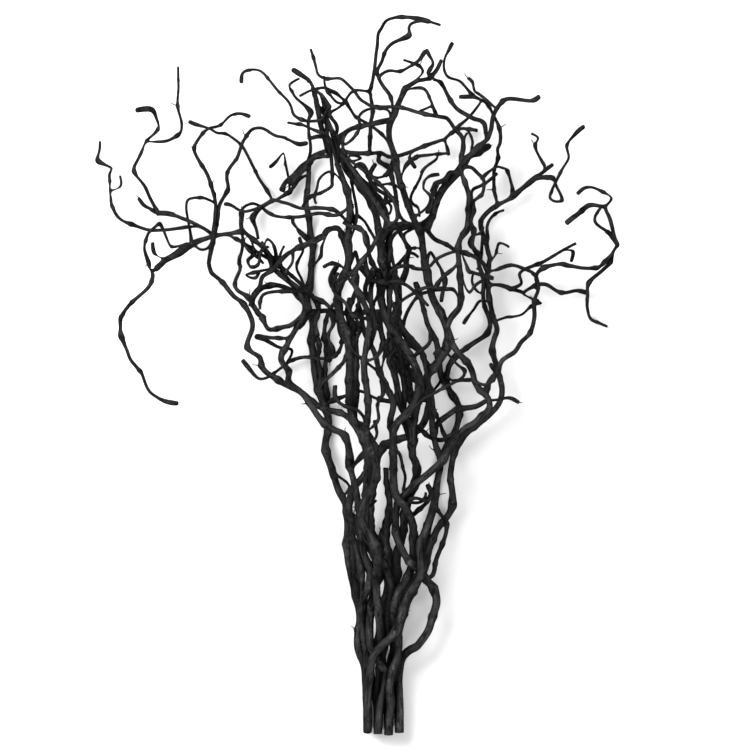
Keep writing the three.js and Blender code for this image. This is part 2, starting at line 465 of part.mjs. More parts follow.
const knottedStem = {
  name: "stem_09",
  girth: [7.3, 6.7, 6.2, 6, 5.8, 5.7, 5.8, 5.3, 3.6, 2.3],
  height: [24, 52, 105, 170, 230, 280, 300, 312, 318, 305],
  way: [
    [5, 8], [5, 50], [7, 80], [8, 110], [14, 132], [16, 155], [18, 174], [21, 195], [26, 213],
    [21, 237], [12, 260], [2, 282], [-8, 300], [-14, 322], [-14, 350], [-12, 380], [-10, 405],
    [-12, 428], [-17, 446], [-24, 461], [-34, 480], [-38, 504], [-38, 537], [-38, 574], [-42, 604],
    [-51, 630], [-56, 657], [-51, 680], [-40, 702], [-39, 724], [-41, 750], [-39, 774],
    [-37, 795], [-40, 815], [-48, 837], [-56, 859], [-57, 882], [-63, 897], [-68, 912],
    [-72, 927], [-68, 945], [-80, 962], [-90, 969], [-96, 981], [-105, 990], [-112, 999],
    [-122, 1000],
  ],
  branches: [
    branch([2.8, 2.6, 2.4, 2.2], 18, [
      [-41, 750], [-30, 768], [-27, 788], [-30, 808], [-34, 834], [-28, 860],
    ]),
    branch([5.6, 5.4, 5.2, 4.8, 4.2, 3.6], 24, [
      [-33, 478], [-30, 498], [-28, 520], [-29, 545], [-28, 570], [-30, 596], [-34, 620],
      [-40, 640], [-37, 660],
    ], [
      branch([3.6, 3.2, 2.8], 10, [[-39, 642], [-28, 672], [-26, 690], [-30, 706]]),
    ]),
    branch([3.4, 3, 2.6, 2.3], 16, [[-42, 572], [-54, 556], [-64, 545], [-76, 535], [-84, 522]]),
    branch([2.5, 2.3, 2.1, 2], 26, [
      [-42, 586], [-32, 580], [-16, 566], [2, 552], [14, 540], [20, 530],
    ]),
    branch([2.6, 2.4, 2.2, 2], -16, [[-39, 580], [-60, 573], [-76, 569], [-92, 570], [-110, 571]]),
    branch([3.6, 3.2, 2.8], 14, [[-60, 896], [-57, 914], [-64, 926], [-70, 936]]),
    branch([3.2, 3, 2.4, 2], -12, [[-60, 884], [-72, 896], [-84, 900], [-98, 898]]),
    branch([2.8, 2.4], -14, [[-71, 930], [-80, 942], [-86, 950], [-90, 962], [-94, 974]]),
    branch([3.4, 2.9, 2.4, 2], -50, [
      [-43, 775], [-52, 785], [-64, 792], [-82, 794], [-112, 794], [-128, 800], [-142, 804],
      [-154, 805], [-172, 796], [-188, 790], [-200, 790], [-214, 798], [-225, 801],
    ]),
    branch([3, 2.6, 2.1], -70, [
      [-43, 788], [-58, 783], [-82, 786], [-112, 781], [-142, 781], [-158, 786], [-170, 796],
      [-182, 801], [-194, 797], [-201, 786], [-199, 771], [-198, 756],
    ]),
    branch([4.6, 4.2, 3.8, 3.1], -110, [
      [-44, 762], [-56, 764], [-68, 762], [-76, 752], [-96, 743], [-114, 735], [-134, 723],
      [-154, 701], [-168, 692], [-172, 678], [-181, 664], [-186, 650],
    ], [
      branch([2.4, 2], -14, [[-122, 731], [-124, 712], [-132, 700], [-134, 690]]),
      branch([2.4, 2], 10, [[-80, 750], [-79, 736], [-81, 722], [-92, 708]], [
        branch([2.1, 2], 6, [[-80, 735], [-70, 737], [-60, 726], [-50, 721]]),
      ]),
    ]),
    branch([3.5, 3.1, 2.4], -60, [
      [-43, 764], [-26, 763], [-16, 758], [-10, 746], [-9, 730], [-4, 712], [4, 700],
      [8, 684], [6, 665],
    ]),
    branch([3.1, 2.8], 10, [[-41, 700], [-52, 708], [-64, 711], [-76, 706]]),
    branch([3.3, 2.9, 2.3], -50, [
      [-41, 700], [-22, 704], [-10, 690], [8, 683], [38, 684], [55, 673], [68, 660], [80, 648],
    ]),
    branch([2.7, 2.3, 2], 18, [
      [-60, 886], [-45, 889], [-34, 896], [-27, 905], [-22, 916], [-24, 928], [-16, 938],
      [-4, 942], [8, 942], [20, 939], [24, 930],
    ]),
    branch([2.3, 2], 10, [[-63, 895], [-72, 903], [-86, 908], [-106, 917], [-130, 921]]),
    branch([2.6, 2.2, 2], -24, [
      [-70, 918], [-82, 925], [-97, 923], [-110, 926], [-120, 932], [-124, 942], [-130, 954],
      [-142, 966], [-152, 978], [-160, 988], [-172, 999], [-188, 1000], [-198, 994],
      [-202, 988], [-199, 981],
    ]),
    branch([2.4, 2], -10, [
      [-54, 836], [-66, 848], [-75, 848], [-82, 838], [-86, 824], [-90, 812], [-88, 800],
    ]),
    branch([3.3, 2.9, 2.4], -40, [[-44, 820], [-66, 825], [-82, 816], [-98, 810], [-108, 796]]),
    branch([4.2, 4, 3.7, 3.1], -30, [
      [-58, 864], [-70, 871], [-82, 872], [-93, 866], [-103, 855], [-114, 843], [-126, 830],
    ]),
    branch([2.9, 2.6], -24, [[-38, 742], [-28, 728], [-24, 712], [-18, 700]]),
    branch([2.9, 2.4, 2], -40, [
      [-56, 655], [-66, 640], [-62, 622], [-70, 604], [-64, 584], [-68, 566],
    ]),
    branch([2.6, 2.2, 2], -30, [
      [-40, 590], [-26, 600], [-22, 618], [-30, 634], [-24, 652], [-30, 668],
    ]),
  ],
};

const rightStem = {
  name: "stem_10",
  girth: [7.3, 6.5, 5.6, 5.1, 4.7, 4.4, 4.2, 4, 3.5, 2.8],
  height: [8, 15, 26, 26, 40, 62, 76, 62, 52, 50],
  way: [
    [37, 12], [35, 50], [28, 80], [27, 105], [30, 124], [34, 144], [38, 165], [44, 184],
    [50, 204], [56, 219], [64, 232], [74, 249], [78, 264], [82, 282], [87, 297], [93, 310],
    [102, 322], [111, 333], [117, 348], [117, 368], [114, 387], [116, 408], [120, 426],
    [128, 442], [138, 456], [150, 466], [164, 477], [177, 489], [188, 504], [192, 522],
    [188, 542], [183, 561], [177, 582], [180, 600], [184, 614], [178, 633], [172, 656],
    [170, 680], [170, 702], [174, 720], [168, 741], [162, 759], [160, 776], [170, 790],
    [186, 802], [206, 812], [222, 826], [244, 843], [264, 854], [268, 862],
  ],
  branches: [
    branch([2.2, 2], 12, [
      [252, 848], [255, 862], [246, 878], [242, 892], [246, 902], [236, 909],
    ]),
    branch([2.4, 2.2, 2], 46, [
      [260, 852], [266, 842], [273, 831], [279, 819], [282, 808], [279, 801], [272, 806],
      [264, 812], [264, 821], [272, 834], [280, 850], [292, 874], [290, 892], [303, 909], [314, 918],
    ]),
    branch([3, 2.8, 2.4, 2], 70, [
      [182, 800], [180, 824], [181, 857], [186, 872], [185, 885], [189, 896], [188, 916],
      [180, 934], [171, 951], [160, 958], [150, 963], [137, 978], [126, 988], [110, 994],
      [104, 1008], [106, 1023], [117, 1035], [117, 1044],
    ], [
      branch([2.1, 1.9], 10, [[148, 966], [142, 959], [135, 959], [129, 964]]),
      branch([2.3, 2], 16, [
        [152, 961], [152, 945], [150, 938], [140, 931], [130, 922], [118, 912],
      ]),
    ]),
    branch([2.6, 2.2, 2], 34, [
      [204, 811], [208, 822], [206, 834], [200, 852], [192, 857], [183, 858], [177, 858],
      [170, 849], [160, 840],
    ]),
    branch([3, 2.8, 2.5], 30, [
      [171, 694], [186, 704], [204, 710], [222, 706], [240, 697], [245, 687], [243, 674],
    ]),
    branch([3.5, 3.2, 2.9, 2.5], -22, [
      [171, 688], [190, 680], [206, 675], [224, 669], [243, 680], [258, 681], [281, 669],
      [308, 672], [322, 668],
    ], [
      branch([2.2, 1.9], 14, [
        [226, 670], [237, 660], [250, 653], [237, 649], [222, 636], [214, 638], [201, 632], [184, 627],
      ]),
      branch([2.4, 2.8, 2.8, 2.4], 22, [
        [221, 670], [220, 683], [218, 696], [228, 705], [247, 712], [262, 720], [286, 734], [303, 743],
      ], [
        branch([2, 1.8], -6, [[290, 736], [298, 731], [300, 727], [297, 717]]),
      ]),
      branch([2.1, 1.9], 14, [[205, 675], [218, 686], [230, 698], [240, 704]]),
    ]),
    branch([2.8, 2.4, 2.1], 18, [
      [168, 740], [170, 752], [169, 766], [173, 778], [182, 788], [194, 793],
    ]),
    branch([2.7, 2.3, 2], 14, [
      [173, 712], [182, 718], [183, 730], [181, 738], [188, 743], [196, 742], [202, 738],
    ]),
    branch([2.5, 2.1], 10, [[171, 668], [158, 656], [150, 645], [140, 632], [134, 622]]),
    branch([2.6, 2.2], 14, [
      [172, 705], [160, 716], [158, 728], [148, 735], [142, 744], [147, 754], [158, 758],
      [164, 768],
    ]),
  ],
};

const rightArcStem = {
  name: "stem_11",
  girth: [7.3, 6.5, 5.6, 5.1, 4.7, 4.4, 4, 3.5, 2.9, 2.4],
  height: [8, 13, 18, 12, 10, 10, 12, 26, 46, 56],
  way: [
    [21, 7], [21, 42], [18, 72], [21, 99], [27, 124], [32, 147], [32, 170], [33, 192],
    [40, 210], [51, 225], [63, 238], [74, 255], [78, 279], [80, 304], [85, 327], [90, 345],
    [93, 364], [95, 387], [98, 408], [104, 429], [114, 447], [123, 465], [128, 485],
    [126, 500], [117, 514], [109, 526], [107, 541], [111, 557], [123, 573], [138, 585], [154, 596],
    [170, 608], [174, 627], [166, 648], [164, 669], [164, 690], [158, 708], [154, 726],
    [147, 740], [148, 759], [142, 777], [148, 795], [146, 810], [148, 824], [164, 832],
    [176, 840], [184, 848],
  ],
  branches: [
    branch([4.7, 4.6, 4.2, 3.7, 3.1], 40, [
      [109, 524], [103, 535], [98, 552], [96, 574], [92, 597], [80, 620], [74, 642],
      [68, 664], [62, 684],
    ]),
    branch([2.4, 2], 10, [[109, 530], [118, 536], [130, 537], [138, 541], [147, 537]]),
    branch([2.4, 2], 14, [[109, 540], [96, 528], [82, 515], [74, 505]]),
    branch([2.3, 2], 8, [[163, 660], [154, 672], [147, 684], [148, 698]]),
  ],
};

const highStem = {
  name: "stem_12",
  girth: [7.3, 6.7, 6, 5.6, 5.3, 4.9, 4.4, 3.7, 2.9, 2.4],
  height: [24, 60, 125, 195, 255, 300, 330, 345, 345, 330],
  way: [
    [21, 10], [18, 57], [11, 102], [9, 147], [6, 185], [3, 214], [2, 244], [5, 267], [0, 290],
    [-10, 309], [-19, 327], [-18, 350], [-8, 369], [2, 390], [1, 414], [-8, 435], [-13, 462],
    [-10, 492], [-12, 522], [-16, 552], [-14, 582], [-8, 612], [-12, 642], [-22, 664],
    [-32, 682], [-28, 702], [-16, 718], [-6, 732], [2, 746], [10, 759], [22, 768],
    [33, 777], [33, 790], [28, 806], [18, 818], [6, 830], [-6, 842], [-20, 852], [-34, 862],
    [-44, 874], [-48, 888], [-46, 902],
  ],
  branches: [
    branch([4.6, 4.6, 4.4, 4, 3.6], -18, [
      [20, 768], [12, 785], [2, 800], [-10, 818], [-24, 838], [-38, 858], [-50, 874],
    ]),
    branch([4.8, 4.6, 4.2, 3.8, 3.2], -44, [
      [-14, 578], [-5, 600], [-2, 620], [-4, 640], [-8, 662], [-6, 684], [0, 704],
    ]),
    branch([2.8, 2.4, 2], 10, [[-12, 458], [-2, 468], [6, 480], [4, 500], [12, 516], [10, 536]]),
    branch([3.1, 2.8, 2.3], -40, [
      [-14, 560], [2, 572], [12, 590], [8, 610], [-4, 628], [-2, 650], [8, 668],
    ]),
    branch([2.9, 2.6, 2.1], -30, [
      [-12, 620], [-30, 632], [-44, 652], [-60, 668], [-66, 690], [-56, 708],
    ]),
    branch([3.8, 3.7, 3.3, 2.9], -24, [
      [-10, 728], [-14, 744], [-16, 756], [-24, 764], [-34, 766], [-46, 772],
    ]),
    branch([4.4, 4, 3.5, 2.9], -70, [
      [-20, 712], [-12, 702], [-8, 690], [-12, 676], [-10, 662], [-2, 648],
    ]),
    branch([2.6, 2.2], -16, [[28, 800], [18, 802], [10, 796], [4, 806], [-2, 814]]),
    branch([2.4, 2], -18, [[14, 820], [16, 806], [24, 796], [22, 784]]),
    branch([2.6, 2.2], 12, [[-28, 858], [-22, 868], [-34, 872], [-42, 866]]),
    branch([2.8, 2.3], -30, [[-14, 480], [-26, 492], [-44, 498], [-58, 510], [-60, 528]]),
    branch([2.6, 2.2], -16, [[-30, 690], [-44, 694], [-54, 686], [-62, 692]]),
  ],
};

const bunch = [
  farRightStem, leftTurningStem, centreStem, bigArcStem, hookedTopStem, brokenTopStem,
  lowUprightStem, farLeftStem, knottedStem, rightStem, rightArcStem, highStem,
];

// ---- Laying out centre lines ----

// The value at t (0 to 1) of a list given at even steps.
function along(values, t) {
  const place = Math.min(Math.max(t, 0), 1) * (values.length - 1);
  const low = Math.min(Math.floor(place), values.length - 2);
  return THREE.MathUtils.lerp(values[low], values[low + 1], place - low);
}

// A wave that starts at nothing, from two unlike swings, so that no two turns are alike.
function wave(size, length, run, phase) {
  const turn = (2 * Math.PI * run) / length;
  const swing = Math.sin(turn + phase) + 0.45 * Math.sin(1.73 * turn + 2.1 * phase);
  const start = Math.sin(phase) + 0.45 * Math.sin(2.1 * phase);
  return size * (swing - start);
}

// Places along a way in plan: its own turning points, and more between them where they are far
// apart. Each place holds its distance along the way and its share of the whole way.
function placesAlong(way, step) {
  const last = way.length - 1;
  const gap = (i, j) => Math.hypot(way[j][0] - way[i][0], way[j][1] - way[i][1]);
  const turns = [0];
  for (let i = 1; i < last; i += 1) {
    const from = turns[turns.length - 1];
    if (gap(from, i) > CLOSEST_STEP * step && gap(i, last) > CLOSEST_STEP * step) turns.push(i);
  }
  turns.push(last);
  const points = turns.map((i) => new THREE.Vector3(way[i][0], way[i][1], 0));
  const curve = new THREE.CatmullRomCurve3(points, false, "centripetal");
  const places = [{ at: points[0].clone(), run: 0 }];
  for (let i = 1; i < points.length; i += 1) {
    const parts = Math.max(1, Math.round(points[i].distanceTo(points[i - 1]) / step));
    for (let k = 1; k <= parts; k += 1) {
      const at = curve.getPoint((i - 1 + k / parts) / (points.length - 1));
      const before = places[places.length - 1];
      places.push({ at, run: before.run + at.distanceTo(before.at) });
    }
  }
  const length = places[places.length - 1].run;
  return places.map(({ at, run }) => ({ at, run, share: run / length }));
}

function bead(at, girth, run) {
  return { at, home: at.clone(), girth, run, branches: [] };
}

// The bead of a line that a branch grows from: the nearest one that has no branch on it yet.
function jointBead(line, [x, y]) {
  const free = line.beads.slice(1, -1).filter((b) => b.branches.length === 0);
  const choices = free.length ? free : line.beads.slice(1, -1);
  const distance = (b) => Math.hypot(b.at.x - x, b.at.y - y);
  return choices.reduce((best, b) => (distance(b) < distance(best) ? b : best));
}

function layBranches(line, specs, stem) {
  for (const [order, spec] of specs.entries()) {
    const joint = jointBead(line, spec.way[0]);
    const places = placesAlong([[joint.at.x, joint.at.y], ...spec.way.slice(1)], TWIG_STEP);
    const phase = 1.9 * order + stem.phase;
    const child = { stem, parent: line, joint, beads: [joint], sides: TWIG_SIDES };
    for (const { at, run, share } of places.slice(1)) {
      const rise = spec.climb * share;
      at.z = joint.at.z + rise + wave(TWIG_WAVE, TWIG_WAVE_LENGTH, run, phase);
      child.beads.push(bead(at, along(spec.girth, share), joint.run + run));
    }
    joint.branches.push(child);
    stem.lines.push(child);
    layBranches(child, spec.branches, stem);
  }
}

function layStem(spec, order) {
  const stem = { name: spec.name, lines: [], phase: 2.4 * order };
  const main = { stem, parent: null, joint: null, beads: [], sides: STEM_SIDES };
  for (const { at, run, share } of placesAlong(spec.way, STEM_STEP)) {
    const swing = STEM_WAVE * Math.min(1, run / STRAIGHT_FOOT);
    at.z = along(spec.height, share) + wave(swing, STEM_WAVE_LENGTH, run, stem.phase);
    main.beads.push(bead(at, along(spec.girth, share), run));
  }
  stem.lines.push(main);
  layBranches(main, spec.branches, stem);
  return stem;
}

// ---- Making room: no two stems share the same space, and none is under the surface ----

// The way along the wood between two beads of one stem.
function woodBetween(lineA, beadA, lineB, beadB) {
  const chain = [];
  for (let line = lineA, at = beadA; line; at = line.joint, line = line.parent) {
    chain.push({ line, run: at.run });
  }
  for (let line = lineB, at = beadB; line; at = line.joint, line = line.parent) {
    const shared = chain.find((step) => step.line === line);
    if (shared) {
      const fork = Math.min(shared.run, at.run);
      return beadA.run + beadB.run - 2 * fork;
    }
  }
  return Infinity;
}

function segmentsOf(stems) {
  const segments = [];
  for (const stem of stems) {
    for (const line of stem.lines) {
      for (let i = 0; i + 1 < line.beads.length; i += 1) {
        const isFoot = i === 0 && line.parent;
        const a = line.beads[i];
        const b = line.beads[i + 1];
        const girth = isFoot ? b.girth * FOOT_OF_BRANCH : Math.max(a.girth, b.girth);
        segments.push({ a, b, line, girth });
      }
    }
  }
  return segments;
}

const scratch = { one: new THREE.Vector3(), two: new THREE.Vector3(), apart: new THREE.Vector3() };

// The closest places of two segments, as shares along each, and the way from the second to the first.
function closest(p, q) {
  const { one, two, apart } = scratch;
  one.subVectors(p.b.at, p.a.at);
  two.subVectors(q.b.at, q.a.at);
  apart.subVectors(p.a.at, q.a.at);
  const a = one.lengthSq();
  const e = two.lengthSq();
  const b = one.dot(two);
  const c = one.dot(apart);
  const f = two.dot(apart);
  const spread = a * e - b * b;
  let s = spread > 1e-6 ? THREE.MathUtils.clamp((b * f - c * e) / spread, 0, 1) : 0.5;
  const t = THREE.MathUtils.clamp((b * s + f) / e, 0, 1);
  s = THREE.MathUtils.clamp((b * t - c) / a, 0, 1);
  apart.addScaledVector(one, s).addScaledVector(two, -t);
  return { s, t, distance: apart.length() };
}

function neighbours(segments) {
  const pairs = [];
  segments.forEach((p, i) => {
    for (let j = i + 1; j < segments.length; j += 1) {
      const q = segments[j];
      const reach = p.girth + q.girth + AIR_GAP + NEIGHBOUR_MARGIN;
      const far = reach + 0.5 * (STEM_STEP + STEM_STEP);
      const dx = p.a.at.x + p.b.at.x - q.a.at.x - q.b.at.x;
      const dy = p.a.at.y + p.b.at.y - q.a.at.y - q.b.at.y;
      const dz = p.a.at.z + p.b.at.z - q.a.at.z - q.b.at.z;
      if (dx * dx + dy * dy + dz * dz > 4 * far * far) continue;
      if (closest(p, q).distance > reach) continue;
      if (p.line.stem === q.line.stem) {
        const wood = woodBetween(p.line, p.b, q.line, q.b);
        if (wood < JOINT_REACH + 2.6 * (p.girth + q.girth)) continue;
      }
      pairs.push([p, q]);
    }
  });
  return pairs;
}

function pushApart([p, q]) {
  const { s, t, distance } = closest(p, q);
  const short = p.girth + q.girth + AIR_GAP - distance;
  if (short <= 0) return;
  const way = scratch.apart.clone().multiplyScalar(1 / Math.max(distance, 1e-6));
  const stacked = way.z || p.a.home.z - q.a.home.z || 1;
  way.z += STACKING_BIAS * Math.sign(stacked);
  way.normalize().multiplyScalar(0.5 * short);
  const shareP = 1 / ((1 - s) ** 2 + s ** 2);
  const shareQ = 1 / ((1 - t) ** 2 + t ** 2);
  p.a.at.addScaledVector(way, (1 - s) * shareP);
  p.b.at.addScaledVector(way, s * shareP);
  q.a.at.addScaledVector(way, -(1 - t) * shareQ);
  q.b.at.addScaledVector(way, -t * shareQ);
}

// Bent wood springs back towards an even curve, and keeps its way in plan where it can.
function springBack(line) {
  const moved = line.beads.map((b) => b.at.clone().sub(b.home));
  for (const shift of moved) {
    shift.x *= 1 - HOLD_IN_PLAN;
    shift.y *= 1 - HOLD_IN_PLAN;
  }
  for (let i = 1; i + 1 < moved.length; i += 1) {
    const even = moved[i - 1].clone().add(moved[i + 1]).multiplyScalar(0.5);
    moved[i].lerp(even, SPRINGINESS);
    line.beads[i].at.copy(line.beads[i].home).add(moved[i]);
  }
  if (line.parent) {
    const carried = moved[0].clone().lerp(moved[1], 1 - SPRINGINESS);
    line.beads[1].at.copy(line.beads[1].home).add(carried);
  }
}

function makeRoom(stems) {
  const segments = segmentsOf(stems);
  const lines = stems.flatMap((stem) => stem.lines);
  let pairs = [];
  for (let round = 0; round < SETTLING_ROUNDS; round += 1) {
    if (round % NEIGHBOUR_REFRESH === 0) pairs = neighbours(segments);
    pairs.forEach(pushApart);
    if (round < SETTLING_ROUNDS - FIRM_ROUNDS) lines.forEach(springBack);
    for (const { a, b } of segments) {
      a.at.z = Math.max(a.at.z, a.girth);
      b.at.z = Math.max(b.at.z, b.girth);
    }
  }
}

// ---- Skin: rings of corners along each line, with each branch grown out of a face of its parent ----

function ringPlaces(line) {
  const places = [];
  const { beads } = line;
  const first = line.parent ? firstClearBead(line) : 0;
  for (let i = first; i < beads.length; i += 1) {
    const here = beads[i];
    const isEnd = i === beads.length - 1;
    if (here.branches.length && i > first && !isEnd) {
      const widest = Math.max(...here.branches.map((child) => child.beads[1].girth));
      for (const side of [-1, 1]) {
        const next = beads[i + side];
        const step = Math.min(0.36, (0.95 * widest) / here.at.distanceTo(next.at));
        const at = here.at.clone().lerp(next.at, step);
        places.push({ at, girth: here.girth, branches: side < 0 ? here.branches : [] });
      }
    } else {
      if (isEnd) {
        const before = beads[i - 1].at;
        const back = Math.min(0.4, (TIP_LENGTH * here.girth) / here.at.distanceTo(before));
        places.push({ at: here.at.clone().lerp(before, back), girth: here.girth, branches: [] });
      }
      const girth = isEnd ? here.girth * TIP_ROUNDING : here.girth;
      places.push({ at: here.at.clone(), girth, branches: [] });
    }
  }
  return places;
}

function distanceToLine(point, line) {
  const nearest = new THREE.Vector3();
  const piece = new THREE.Line3();
  return line.beads.slice(1).reduce((least, b, i) => {
    piece.set(line.beads[i].at, b.at);
    piece.closestPointToPoint(point, true, nearest);
    return Math.min(least, nearest.distanceTo(point));
  }, Infinity);
}

// The first bead of a branch that stands clear of the wood it grows from.
function firstClearBead(line) {
  const near = Math.min(line.beads.length - 2, 3);
  for (let i = 1; i < near; i += 1) {
    const room = line.joint.girth + 1.1 * line.beads[i].girth;
    if (distanceToLine(line.beads[i].at, line.parent) > room) return i;
  }
  return near;
}

function tangents(places, start) {
  return places.map((place, i) => {
    const before = i > 0 ? places[i - 1].at : start ?? place.at;
    const after = i + 1 < places.length ? places[i + 1].at : place.at;
    const back = place.at.clone().sub(before).normalize();
    const on = after.clone().sub(place.at).normalize();
    return back.add(on).normalize();
  });
}

function corners(place, across, along, sides, turn) {
  const up = new THREE.Vector3().crossVectors(along, across);
  return Array.from({ length: sides }, (_, k) => {
    const angle = turn + (2 * Math.PI * k) / sides;
    const out = across.clone().multiplyScalar(Math.cos(angle)).addScaledVector(up, Math.sin(angle));
    return place.at.clone().addScaledVector(out, place.girth);
  });
}

// The turn of a branch's first ring that lines its corners up with the face it grows from.
function matchingTurn(skin, foot, across, tangent) {
  const up = new THREE.Vector3().crossVectors(tangent, across);
  const points = foot.map((index) => skin.points[index]);
  const middle = points.reduce((sum, p) => sum.add(p), new THREE.Vector3()).divideScalar(points.length);
  const pull = new THREE.Vector2();
  points.forEach((point, k) => {
    const out = point.clone().sub(middle);
    const angle = Math.atan2(out.dot(up), out.dot(across)) - (2 * Math.PI * k) / points.length;
    pull.add(new THREE.Vector2(Math.cos(angle), Math.sin(angle)));
  });
  return pull.angle();
}

function addRing(skin, points) {
  const first = skin.points.length;
  skin.points.push(...points);
  return points.map((_, k) => first + k);
}

// A four-sided face is split along its longer diagonal.
function addFace(skin, [a, b, c, d]) {
  const p = skin.points;
  const split = p[a].distanceTo(p[c]) >= p[b].distanceTo(p[d]);
  skin.faces.push(...(split ? [a, b, c, a, c, d] : [a, b, d, b, c, d]));
}

function addCap(skin, ring) {
  for (let k = 1; k + 1 < ring.length; k += 1) {
    skin.faces.push(ring[0], ring[k], ring[k + 1]);
  }
}

// The face of a parent ring that looks most nearly the way the branch leaves.
function faceTowards(skin, low, high, taken, towards) {
  const middle = (ring) =>
    ring.reduce((sum, i) => sum.add(skin.points[i]), new THREE.Vector3()).divideScalar(ring.length);
  const centre = middle(low).add(middle(high)).multiplyScalar(0.5);
  let best = -1;
  let bestLook = -Infinity;
  low.forEach((_, k) => {
    if (taken.has(k)) return;
    const next = (k + 1) % low.length;
    const face = [low[k], low[next], high[next], high[k]];
    const look = middle(face).sub(centre).normalize().dot(towards);
    if (look > bestLook) {
      best = k;
      bestLook = look;
    }
  });
  return best;
}

function growLine(skin, line, foot) {
  const places = ringPlaces(line);
  const ways = tangents(places, line.parent ? line.joint.at : null);
  const across = new THREE.Vector3(0, 0, 1).cross(ways[0]).normalize();
  const turn = foot ? matchingTurn(skin, foot, across, ways[0]) : 0;
  let low = foot;
  let waiting = [];
  places.forEach((place, i) => {
    if (i > 0) {
      const bend = new THREE.Quaternion().setFromUnitVectors(ways[i - 1], ways[i]);
      across.applyQuaternion(bend).addScaledVector(ways[i], -across.dot(ways[i])).normalize();
    }
    const high = addRing(skin, corners(place, across, ways[i], line.sides, turn));
    if (low) {
      const taken = new Map();
      for (const child of waiting) {
        const first = child.beads[firstClearBead(child)];
        const side = low.concat(high).map((k) => skin.points[k]);
        const centre = side.reduce((sum, p) => sum.add(p), new THREE.Vector3()).divideScalar(side.length);
        const towards = first.at.clone().sub(centre);
        towards.addScaledVector(ways[i], -towards.dot(ways[i])).normalize();
        taken.set(faceTowards(skin, low, high, taken, towards), child);
      }
      low.forEach((corner, k) => {
        const next = (k + 1) % low.length;
        const face = [corner, low[next], high[next], high[k]];
        if (taken.has(k)) {
          growLine(skin, taken.get(k), face);
        } else {
          addFace(skin, face);
        }
      });
    } else {
      addCap(skin, [...high].reverse());
    }
    low = high;
    waiting = place.branches;
  });
  addCap(skin, low);
}

function stemGeometry(stem) {
  const skin = { points: [], faces: [] };
  growLine(skin, stem.lines[0], null);
  const geometry = new THREE.BufferGeometry().setFromPoints(skin.points);
  geometry.setIndex(skin.faces);
  geometry.computeVertexNormals();
  return geometry;
}

// ---- The bunch ----

const stems = bunch.map(layStem);
makeRoom(stems);

const bark = new THREE.MeshStandardMaterial({ color: 0x262626, roughness: 0.78, metalness: 0 });
const willowStems = new THREE.Group();
willowStems.name = "willow_stems";

for (const stem of stems) {
  const mesh = new THREE.Mesh(stemGeometry(stem), bark.clone());
  mesh.name = stem.name;
  willowStems.add(mesh);
}

// The origin is on the surface, under the middle of the bunch.
const box = new THREE.Box3().setFromObject(willowStems);
const middle = box.getCenter(new THREE.Vector3());
for (const mesh of willowStems.children) {
  mesh.position.set(-middle.x, -middle.y, -box.min.z);
}

export default willowStems;
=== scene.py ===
"""A loose bunch of twelve cut curly willow stems, dyed black, lying on a pale studio floor.

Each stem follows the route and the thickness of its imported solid. Its skin is made smooth,
then swells, furrows and wrinkles like bark, and it gets buds, broken spurs and a sawn butt.
"""

import logging
import math
import random
from dataclasses import dataclass, field
from enum import Enum

import bmesh
import bpy
import numpy as np
from mathutils import Matrix, Vector, noise
from mathutils.bvhtree import BVHTree


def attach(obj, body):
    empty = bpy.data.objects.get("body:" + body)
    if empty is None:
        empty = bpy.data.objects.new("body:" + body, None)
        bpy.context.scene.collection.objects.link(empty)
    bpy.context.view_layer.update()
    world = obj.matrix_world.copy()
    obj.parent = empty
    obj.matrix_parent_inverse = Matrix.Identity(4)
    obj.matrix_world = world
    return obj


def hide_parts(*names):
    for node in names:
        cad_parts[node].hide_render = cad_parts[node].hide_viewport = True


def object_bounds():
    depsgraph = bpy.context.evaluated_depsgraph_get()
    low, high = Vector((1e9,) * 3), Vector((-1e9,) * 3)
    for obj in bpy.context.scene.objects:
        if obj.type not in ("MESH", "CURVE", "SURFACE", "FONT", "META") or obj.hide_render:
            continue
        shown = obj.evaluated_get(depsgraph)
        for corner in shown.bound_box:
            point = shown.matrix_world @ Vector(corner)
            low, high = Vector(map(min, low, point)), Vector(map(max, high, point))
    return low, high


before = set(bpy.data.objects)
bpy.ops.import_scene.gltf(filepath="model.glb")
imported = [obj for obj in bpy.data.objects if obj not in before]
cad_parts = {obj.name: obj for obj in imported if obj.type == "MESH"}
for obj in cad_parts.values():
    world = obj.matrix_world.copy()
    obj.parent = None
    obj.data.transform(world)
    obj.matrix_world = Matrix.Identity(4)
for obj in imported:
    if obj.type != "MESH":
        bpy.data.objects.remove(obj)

BODY = "root"
BLACK = (0.0, 0.0, 0.0)

# A stem is young wood up to the first radius, and old wood from the second, in metres.
YOUNG_GIRTH = 0.0022
OLD_GIRTH = 0.0058

# Each stem's patterns start this far from the last one's, so that no two look alike.
APART = (3.1, 1.7, 0.9)
SEED_STEP, SEED_START = 97, 5

# The length of one unit of grain, along a stem and on its buds, in metres.
GRAIN_LENGTH = 0.062
BUD_GRAIN_LENGTH = 0.012

# The turn between two leaves that never stand over each other, used to spread the looks evenly.
GOLDEN_TURN = 2.399963

log = logging.getLogger("willow")


class Mark(Enum):
    """The marks that a stem's skin carries from its shape to its finish."""

    CENTRE = "centre"
    GIRTH = "girth"
    GRAIN = "grain"
    WEAR = "wear"
    # Painted light: how much light from above reaches the skin past the bunch. The bark is painted darker
    # where it is low.
    PAINTED_LIGHT = "open"
    YOUNG = "young"
    PITH = "pith"


# What a bud or a spur is marked with. Its painted light is a fixed share, which gives it a little painted
# shade.
BUD_MARKS = ((Mark.WEAR, 0.62), (Mark.PAINTED_LIGHT, 0.8), (Mark.YOUNG, 1.0))


class Face(Enum):
    """The two finishes of a stem, by material slot."""

    BARK = 0
    SAWN = 1


# ---- Finishes ----


